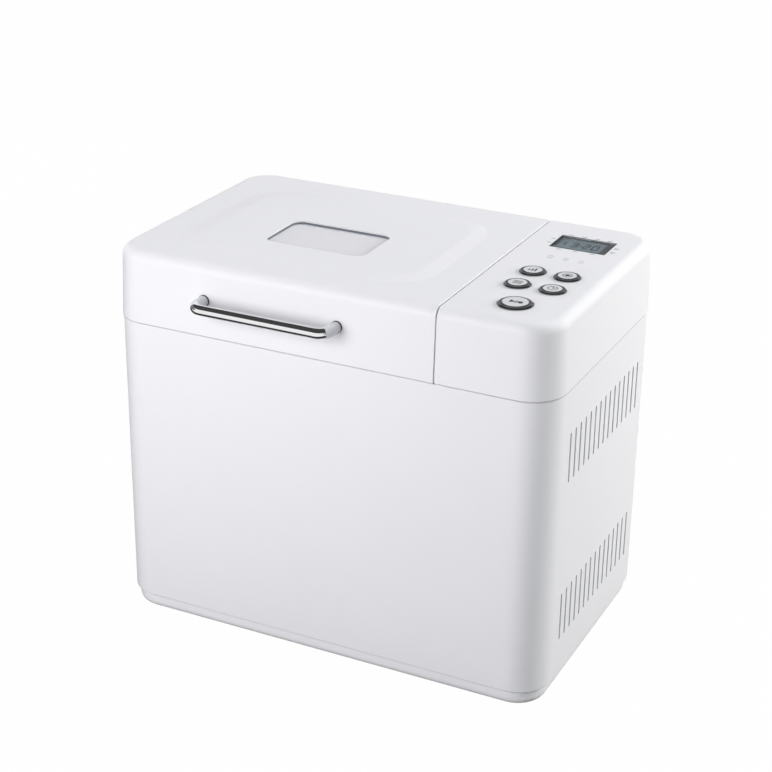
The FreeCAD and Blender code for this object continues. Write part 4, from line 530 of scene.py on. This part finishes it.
cover, tree, shader = new_finish("display_cover", {
    "Base Color": (0.93, 0.96, 0.97, 1), "Transmission Weight": 1.0, "IOR": 1.3,
})
hazy_polish(tree, shader, 300, 2, 0.01, 0.06)
dress(cover, "display_window")

low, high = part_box("display_module")
cell_x, cell_y, cell_top = (low[0] + high[0]) / 2, (low[1] + high[1]) / 2, high[2]
FIELD_HALF, FIELD_SHIFT = {"X": 0.0178, "Y": 0.0109}, (-0.0030, 0.0013)
field_x, field_y = cell_x + FIELD_SHIFT[0], cell_y + FIELD_SHIFT[1]
cell, tree, shader = new_finish("display_cell", {"Roughness": 0.4})
place = own_place(tree)
local = add_node(tree, "ShaderNodeMapping", {
    "Vector": place, "Location": (-field_x, -field_y, -cell_top),
})
split = add_node(tree, "ShaderNodeSeparateXYZ", {0: local.outputs[0]})
within = [
    reckon(tree, "LESS_THAN", reckon(tree, "ABSOLUTE", split.outputs[axis]), half)
    for axis, half in FIELD_HALF.items()
]
field = reckon(tree, "MULTIPLY", *within)
glow = blend(tree, clouds(tree, place, 220, 2), (0.20, 0.285, 0.33), (0.285, 0.40, 0.46))
tree.links.new(blend(tree, field, (0.030, 0.038, 0.046), glow), shader.inputs["Base Color"])
dress(cell, "display_module")

# A dark line printed round the window hides the rim of the cell
low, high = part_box("display_window")
WINDOW_LAP, FRAME_WIDTH = 0.0025, 0.0011
window_frame = flat_plate(
    (cell_x, cell_y, high[2]),
    high[0] - low[0] - 2 * WINDOW_LAP, high[1] - low[1] - 2 * WINDOW_LAP,
)
hollow_out(FRAME_WIDTH)
thicken(PRINT_DEPTH)
fit_piece("display_frame", [window_frame], "machine", ink)

# Each figure is built up from up to seven strokes
STROKE, STROKE_GAP, FIGURE_HALF_X, FIGURE_HALF_Y = 0.0013, 0.35, 0.0021, 0.0042
LIT = {"1": "bc", "2": "abged", "3": "abgcd", "0": "abcdef"}
FIGURES = (("1", -0.0130, 0.8), ("3", -0.0040, 1.0), ("2", 0.0052, 1.0), ("0", 0.0120, 1.0))
COLON_RADIUS, COLON_X, COLON_Y = 0.0007, 0.0006, 0.0018
segments, tree, shader = new_finish("display_segments", {"Roughness": 0.5})
mottle = clouds(tree, own_place(tree), 900, 2)
shade = blend(tree, mottle, (0.018, 0.024, 0.028), (0.034, 0.042, 0.046))
tree.links.new(shade, shader.inputs["Base Color"])


def figure(character, across, scale):
    half_x, half_y = FIGURE_HALF_X * scale, FIGURE_HALF_Y * scale
    places = {
        "a": (0, half_y, 0), "g": (0, 0, 0), "d": (0, -half_y, 0),
        "b": (half_x, half_y / 2, 1), "c": (half_x, -half_y / 2, 1),
        "e": (-half_x, -half_y / 2, 1), "f": (-half_x, half_y / 2, 1),
    }
    strokes = []
    for name in LIT[character]:
        shift_x, shift_y, upright = places[name]
        reach = (half_y if upright else 2 * half_x) - STROKE * STROKE_GAP
        spot = (field_x + across + shift_x, field_y + shift_y, cell_top)
        strokes.append(ink_bar(reach, STROKE * scale, spot, math.pi / 2 * upright))
    return strokes


strokes = []
for character, across, scale in FIGURES:
    strokes += figure(character, across, scale)
for side in (-1, 1):
    spot = (field_x + COLON_X, field_y + side * COLON_Y, cell_top)
    strokes.append(ink_dot(COLON_RADIUS, spot))
fit_piece("display_figures", strokes, "machine", segments)

# Printed marks on the panel
# Small grey prints point at the edges of the display, and a row of three shows the loaf sizes;
# all are pad printed in thin ink on the flat of the moulded panel.
panel_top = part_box("control_housing")[1][2]
mark_grey = moulded("mark_grey", (0.33, 0.34, 0.37), 0.2, 5000, 0.5)
low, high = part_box("display_window")
left_edge, right_edge = low[0] + WINDOW_LAP, high[0] - WINDOW_LAP
front_edge, rear_edge = low[1] + WINDOW_LAP, high[1] - WINDOW_LAP
MARK_WIDTH, MARK_GAP, REAR_MARK, FRONT_MARK = 0.0007, 0.0026, 0.0042, 0.0036
SIDE_MARKS = (
    (left_edge - 0.0034, 0.0, 0.0030, MARK_WIDTH),
    (right_edge + 0.0038, 0.0, 0.0036, MARK_WIDTH),
    (right_edge + 0.0032, -0.0018, 0.0024, 0.0006),
)
marks = []
for shares, length, along in (
    ((0.14, 0.38, 0.62, 0.86), REAR_MARK, rear_edge + MARK_GAP),
    ((0.2, 0.5, 0.8), FRONT_MARK, front_edge - MARK_GAP),
):
    for share in shares:
        across = left_edge + (right_edge - left_edge) * share
        marks.append(ink_bar(length, MARK_WIDTH, (across, along, panel_top)))
for share in (0.3, 0.62):
    depth = front_edge + (rear_edge - front_edge) * share
    for across, shift, length, width in SIDE_MARKS:
        marks.append(ink_bar(length, width, (across, depth + shift, panel_top)))
fit_piece("panel_marks", marks, "machine", mark_grey)

faint_grey = moulded("faint_grey", (0.55, 0.56, 0.58), 0.2, 5000, 0.5)
LOAF_STEP, LOAF_STROKE, LOAF_RADII, LOAF_GAP = 0.012, 0.00045, (0.0021, 0.0017, 0.0013), 0.0205
PLATE_LENGTH, PLATE_WIDTH, PLATE_GAP = 0.0044, 0.0005, 0.0241
loaves = []
for shift, radius in zip((-1, 0, 1), LOAF_RADII):
    across = cell_x + LOAF_STEP * shift
    loaves.append(ink_ring(radius, LOAF_STROKE, (across, front_edge - LOAF_GAP, panel_top)))
    spot = (across, front_edge - PLATE_GAP, panel_top)
    loaves.append(ink_bar(PLATE_LENGTH, PLATE_WIDTH, spot))
fit_piece("panel_loaf_marks", loaves, "machine", faint_grey)

# Lid window
# A pale, slightly hazy pane lies under the opening of the plateau, held up by a moulded retainer;
# a thin dark grey ring along the edge of the opening is painted shade, standing in for the shadow
# in the recess round the pane.
pane, tree, shader = new_finish("window_pane", {
    "Base Color": (0.83, 0.825, 0.85, 1), "Transmission Weight": 0.12, "IOR": 1.45,
})
hazy_polish(tree, shader, 90, 4, 0.10, 0.2)
dress(pane, "lid_window")

# Painted shade: this dark grey ring at the edge of the window opening stands in for the shadow in
# the recess round the pane.
window_shade_grey = moulded("window_shade_grey", (0.17, 0.185, 0.215), 0.2, 1500, 0.6)
low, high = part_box("lid_window")
PANE_LAP, WINDOW_SHADE_WIDTH, WINDOW_SHADE_HEIGHT, WINDOW_SHADE_PLAY = 0.005, 0.0009, 0.0012, 0.00004
OPENING_CORNER, CORNER_STEPS = 0.009, 12
window_shade_plate = flat_plate(
    ((low[0] + high[0]) / 2, (low[1] + high[1]) / 2, high[2]),
    high[0] - low[0] - 2 * PANE_LAP - WINDOW_SHADE_PLAY, high[1] - low[1] - 2 * PANE_LAP - WINDOW_SHADE_PLAY,
)
round_corners(OPENING_CORNER, CORNER_STEPS)
hollow_out(WINDOW_SHADE_WIDTH)
thicken(WINDOW_SHADE_HEIGHT)
fit_piece("window_shade_ring", [window_shade_plate], "lid", window_shade_grey)

# Dark strips under the lid and the control housing
# A grey strip let in under the edge of each darkens the gap to the casing along the front and the
# sides;
# it is painted shade, standing in for the shadow in the seam. The rear edge stays free for the
# hinges.
# Painted shade: these grey strips stand in for the shadow in the seam between lid, housing and
# casing.
seam_shade_grey = moulded("seam_shade_grey", (0.50, 0.50, 0.52), 0.2, 1500, 0.6)
low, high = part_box("lid_cover")
housing_low, housing_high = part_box("control_housing")
SEAM_SHADE_INSET, SEAM_SHADE_WIDTH, SEAM_SHADE_HEIGHT, SEAM_SHADE_END = 0.0001, 0.0016, 0.0009, 0.030
LID_CORNER, LID_CORNER_STEPS = 0.0267, 14
lid_seam_shade = flat_plate(
    ((low[0] + housing_high[0]) / 2, (low[1] + high[1]) / 2, low[2] - SEAM_SHADE_HEIGHT),
    housing_high[0] - low[0] - 2 * SEAM_SHADE_INSET, high[1] - low[1] - 2 * SEAM_SHADE_INSET,
)
round_corners(LID_CORNER - SEAM_SHADE_INSET, LID_CORNER_STEPS)
hollow_out(SEAM_SHADE_WIDTH)
thicken(SEAM_SHADE_HEIGHT)
bpy.ops.object.duplicate()
housing_seam_shade = bpy.context.object
rear_cut = ((0, high[1] - SEAM_SHADE_END, 0), (0, 1, 0))
for name, shade_strip, body, split_cut in (
    ("lid_seam_shade", lid_seam_shade, "lid", ((high[0], 0, 0), (1, 0, 0))),
    ("housing_seam_shade", housing_seam_shade, "machine", ((housing_low[0], 0, 0), (-1, 0, 0))),
):
    clear_selection()
    shade_strip.select_set(True)
    bpy.context.view_layer.objects.active = shade_strip
    bpy.ops.object.mode_set(mode="EDIT")
    for cut, outward in (split_cut, rear_cut):
        bpy.ops.mesh.select_all(action="SELECT")
        bpy.ops.mesh.bisect(plane_co=cut, plane_no=outward, use_fill=True, clear_outer=True)
    bpy.ops.object.mode_set(mode="OBJECT")
    fit_piece(name, [shade_strip], body, seam_shade_grey)

# Strip in the split between lid and housing
# A pale strip on the side of the housing fills the gap beside the lid; it lies a little below the
# outer faces and follows their lean and their rounded top edge.
STRIP_SET_BACK, STRIP_GAP, STRIP_DEPTH = 0.0008, 0.00035, 0.003
STRIP_EDGE, STRIP_EDGE_STEPS, WALL_LEAN = 0.0075, 8, 0.0021


def pick_corners(piece, wanted):
    """Goes to edit mode with the wanted corners alone selected."""
    bpy.ops.object.mode_set(mode="EDIT")
    bpy.ops.mesh.select_mode(type="VERT")
    bpy.ops.mesh.select_all(action="DESELECT")
    bpy.ops.object.mode_set(mode="OBJECT")
    for corner in piece.data.vertices:
        corner.select = wanted(corner.co)
    bpy.ops.object.mode_set(mode="EDIT")


strip_length = high[1] - low[1] - 2 * STRIP_SET_BACK
strip_height = housing_high[2] - low[2] - STRIP_SET_BACK
middle = Vector((high[0] + STRIP_GAP, (low[1] + high[1]) / 2, low[2] + strip_height / 2))
split_strip = flat_plate(middle, strip_length, strip_height, (math.pi / 2, 0, math.pi / 2))
pick_corners(split_strip, lambda spot: spot.z > middle.z)
bpy.ops.transform.resize(
    value=(1, 1 - 2 * WALL_LEAN / strip_length, 1), center_override=(0, middle.y, 0)
)
bpy.ops.mesh.bevel(offset=STRIP_EDGE, affect="VERTICES", segments=STRIP_EDGE_STEPS)
hollow_out(STRIP_DEPTH)
thicken(housing_low[0] - high[0] - STRIP_GAP, (1, 0, 0))
fit_piece("split_strip", [split_strip], "machine", deck_white)

# Dark rings at the handle posts, and the black rubber
# A thin black ring sits between each post and the lid; it is painted shade, standing in for the
# shadow where the post meets the lid. The belt, the shaft seal and the cord gland are moulded in
# the same black rubber.
# Painted shade: this black is also used for the rings at the posts, which stand in for the shadow
# where each post meets the lid.
rubber_and_post_shade = moulded("black_rubber", (0.028, 0.028, 0.030), 0.3, 1500, 0.62, 0.25)
low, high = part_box("handle_posts")
POST_RADIUS, SHADE_RING_RADIUS, SHADE_RING_PLAY = 0.004, 0.0043, 0.00002
SHADE_RING_LENGTH, SHADE_RING_SINK, SHADE_RING_CORNERS = 0.0011, 0.0001, 48
post_z = (low[2] + high[2]) / 2
shade_rings = []
for across in (low[0] + POST_RADIUS, high[0] - POST_RADIUS):
    shade_ring = flat_disc((0, 0, 0), SHADE_RING_RADIUS, SHADE_RING_CORNERS)
    hollow_out(SHADE_RING_RADIUS - POST_RADIUS - SHADE_RING_PLAY)
    thicken(SHADE_RING_LENGTH)
    shade_ring.rotation_euler = (math.pi / 2, 0, 0)
    shade_ring.location = (across, high[1] + SHADE_RING_SINK, post_z)
    set_down(shade_ring)
    shade_rings.append(shade_ring)
fit_piece("post_shade_rings", shade_rings, "lid", rubber_and_post_shade)
dress(rubber_and_post_shade, "drive_belt", "shaft_seal", "cord_gland")

# Oven and lid liners
# Pressed from sheet with a drawn grain along the walls; the lid's liner closes the lid from below.
STAIN_SCALE, GRAIN_ON_DULLNESS, DRAWN_DEPTH = 28, 0.14, 0.0001
drawn_metal, given, result = new_group(
    "drawn_metal",
    (("Colour", COLOUR), ("Stretch", ARROW), ("Contrast", NUMBER), ("Gloss", NUMBER)),
    SKIN_OUTPUTS,
)
place = own_place(drawn_metal)
pulled = add_node(drawn_metal, "ShaderNodeVectorMath", {
    0: place, 1: given.outputs["Stretch"],
}, operation="MULTIPLY")
lines = clouds(drawn_metal, pulled.outputs[0], 1.0, 5)
stains = clouds(drawn_metal, place, STAIN_SCALE, 4)
pattern = reckon(drawn_metal, "SUBTRACT", reckon(drawn_metal, "ADD", lines, stains), 1.0)
toned = drifted(drawn_metal, given.outputs["Colour"], pattern, given.outputs["Contrast"])
dulled = reckon(
    drawn_metal, "MULTIPLY_ADD", pattern, GRAIN_ON_DULLNESS, given.outputs["Gloss"]
)
drawn_metal.links.new(toned, result.inputs["Colour"])
drawn_metal.links.new(dulled, result.inputs["Roughness"])
drawn_metal.links.new(lines, result.inputs["Height"])


def metal(name, colour, stretch, contrast, gloss, strength=0.15):
    values = {"Colour": (*colour, 1), "Stretch": stretch, "Contrast": contrast, "Gloss": gloss}
    return skinned(name, drawn_metal, values, strength, DRAWN_DEPTH, {"Metallic": 1.0})


liner_steel = metal("liner_steel", (0.58, 0.58, 0.58), (60, 60, 2600), 0.16, 0.45)
dress(liner_steel, "oven_liner", "lid_liner")

# Corner webs of the lid
# Two thin moulded webs lie on the liner's flange and close the lid's square corners beside the
# flange's rounded ones.
LINER_SHEET, WEB_SIZE, WEB_THICK, WEB_GAP = 0.0015, 0.024, 0.001, 0.0001
WEB_ROUND, WEB_ROUND_STEPS = 0.010, 8
low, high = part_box("lid_liner")
webs = []
for edge, inward in ((low[1], 1), (high[1], -1)):
    middle = Vector((
        high[0] - WEB_SIZE / 2, edge + inward * WEB_SIZE / 2, low[2] + LINER_SHEET + WEB_GAP,
    ))
    web = flat_plate(middle, WEB_SIZE, WEB_SIZE)
    pick_corners(web, lambda spot: spot.x < middle.x and (spot.y - middle.y) * inward > 0)
    bpy.ops.mesh.bevel(offset=WEB_ROUND, affect="VERTICES", segments=WEB_ROUND_STEPS)
    thicken(WEB_THICK)
    webs.append(web)
fit_piece("lid_webs", webs, "lid", shell_white)

# Bread pan and paddle
# Cast and drawn pieces with a dark fluoropolymer coat that carries fine pale specks.
coat, tree, shader = new_finish("nonstick_coat")
place = own_place(tree)
specks = add_node(tree, "ShaderNodeTexVoronoi", {"Vector": place, "Scale": 520})
dots = ramp(tree, specks.outputs["Distance"], 0.10, 0.16, 1.0, 0.0)
tone = clouds(tree, place, 35, 4)
dark = blend(tree, tone, (0.030, 0.030, 0.032), (0.052, 0.052, 0.054))
tree.links.new(blend(tree, dots, dark, (0.16, 0.16, 0.165)), shader.inputs["Base Color"])
tree.links.new(ramp(tree, tone, 0, 1, 0.28, 0.46), shader.inputs["Roughness"])
emboss(tree, shader, tone, 0.08, 0.0002)
dress(coat, "bread_pan", "kneading_paddle")

# Pan fittings, clips, chassis and standoffs
# Folded and stamped sheet steel, left bright.
sheet_steel = metal("sheet_steel", (0.54, 0.54, 0.55), (1800, 70, 70), 0.28, 0.4)
dress(sheet_steel, "pan_foot", "pan_ears", "pan_bail", "pan_clips", "heater_clips")
dress(sheet_steel, "oven_standoffs", "chassis_plate")

# Shafts, pins, nut and sensor
# Turned from bar, with fine rings round each piece.
turned_steel = metal("turned_steel", (0.62, 0.62, 0.63), (90, 90, 5200), 0.2, 0.26)
dress(turned_steel, "drive_shaft", "paddle_shaft", "motor_rotor", "pulley_nut")
pin_steel = metal("pin_steel", (0.62, 0.62, 0.63), (5200, 90, 90), 0.2, 0.28)
dress(pin_steel, "hinge_pins", "temperature_sensor")

# Couplings, bearing housing, motor bells and bushes
# Die cast alloy with a sandy skin; the bushes are sintered bronze, pressed in.
cast_alloy = metal("cast_alloy", (0.50, 0.51, 0.52), (1100, 1100, 1100), 0.3, 0.48, 0.35)
dress(cast_alloy, "bearing_housing", "drive_coupling", "pan_coupling", "motor_end_bells")
bronze = metal("bearing_bronze", (0.50, 0.31, 0.12), (1500, 1500, 1500), 0.3, 0.42, 0.2)
dress(bronze, "bearing_bushes", "pan_bush")

# Motor stator
# A stack of thin iron sheets, dark varnished, so that fine lines run round it.
stack, tree, shader = new_finish("stator_stack", {"Metallic": 0.6, "Roughness": 0.45})
sheets = add_node(tree, "ShaderNodeTexWave", {
    "Vector": own_place(tree), "Scale": 330, "Distortion": 0.4, "Detail": 2,
}, bands_direction="Z").outputs["Fac"]
varnish = blend(tree, sheets, (0.020, 0.020, 0.022), (0.075, 0.075, 0.080))
tree.links.new(varnish, shader.inputs["Base Color"])
emboss(tree, shader, sheets, 0.3, 0.0002)
dress(stack, "motor_stator")

# Heating element
# A tubular heater, held by clips; its sheath has blued and browned in use.
sheath, tree, shader = new_finish("heater_sheath", {"Metallic": 0.7})
tint = clouds(tree, own_place(tree), 42, 5)
oxide = blend(tree, tint, (0.055, 0.045, 0.040), (0.14, 0.13, 0.14))
tree.links.new(oxide, shader.inputs["Base Color"])
tree.links.new(ramp(tree, tint, 0, 1, 0.35, 0.6), shader.inputs["Roughness"])
dress(sheath, "heating_element")

# Pulleys, switches, capacitor and power components
# Glass filled plastic, moulded matt black.
black_plastic = moulded("black_plastic", (0.035, 0.035, 0.038), 0.3, 1800, 0.5, 0.2)
dress(black_plastic, "large_pulley", "motor_pulley", "button_switches")
dress(black_plastic, "power_components", "motor_capacitor")

# Feet
# Pale soft rubber discs, pressed into the tray.
foot_rubber = moulded("foot_rubber", (0.46, 0.46, 0.455), 0.2, 1500, 0.7, 0.3)
dress(foot_rubber, "rubber_feet")

# Circuit boards
# Green laminate with paler copper tracks under the lacquer.
laminate, tree, shader = new_finish("board_laminate", {"Roughness": 0.35})
cells = add_node(tree, "ShaderNodeTexBrick", {
    "Vector": own_place(tree), "Scale": 90, "Mortar Size": 0.035,
    "Color1": (0.020, 0.085, 0.035, 1), "Color2": (0.024, 0.10, 0.042, 1),
    "Mortar": (0.05, 0.17, 0.07, 1),
})
tree.links.new(cells.outputs["Color"], shader.inputs["Base Color"])
emboss(tree, shader, cells.outputs["Fac"], 0.2, 0.0001)
dress(laminate, "control_board", "power_board")

# Screws
# Zinc plated pan head screws with a cross recess; each stands where its pilot hole is.
zinc = metal("screw_zinc", (0.55, 0.55, 0.56), (900, 900, 900), 0.25, 0.34)
dress(zinc, "base_screws", "housing_screws", "lid_screws", "handle_screws", "hinge_screws")
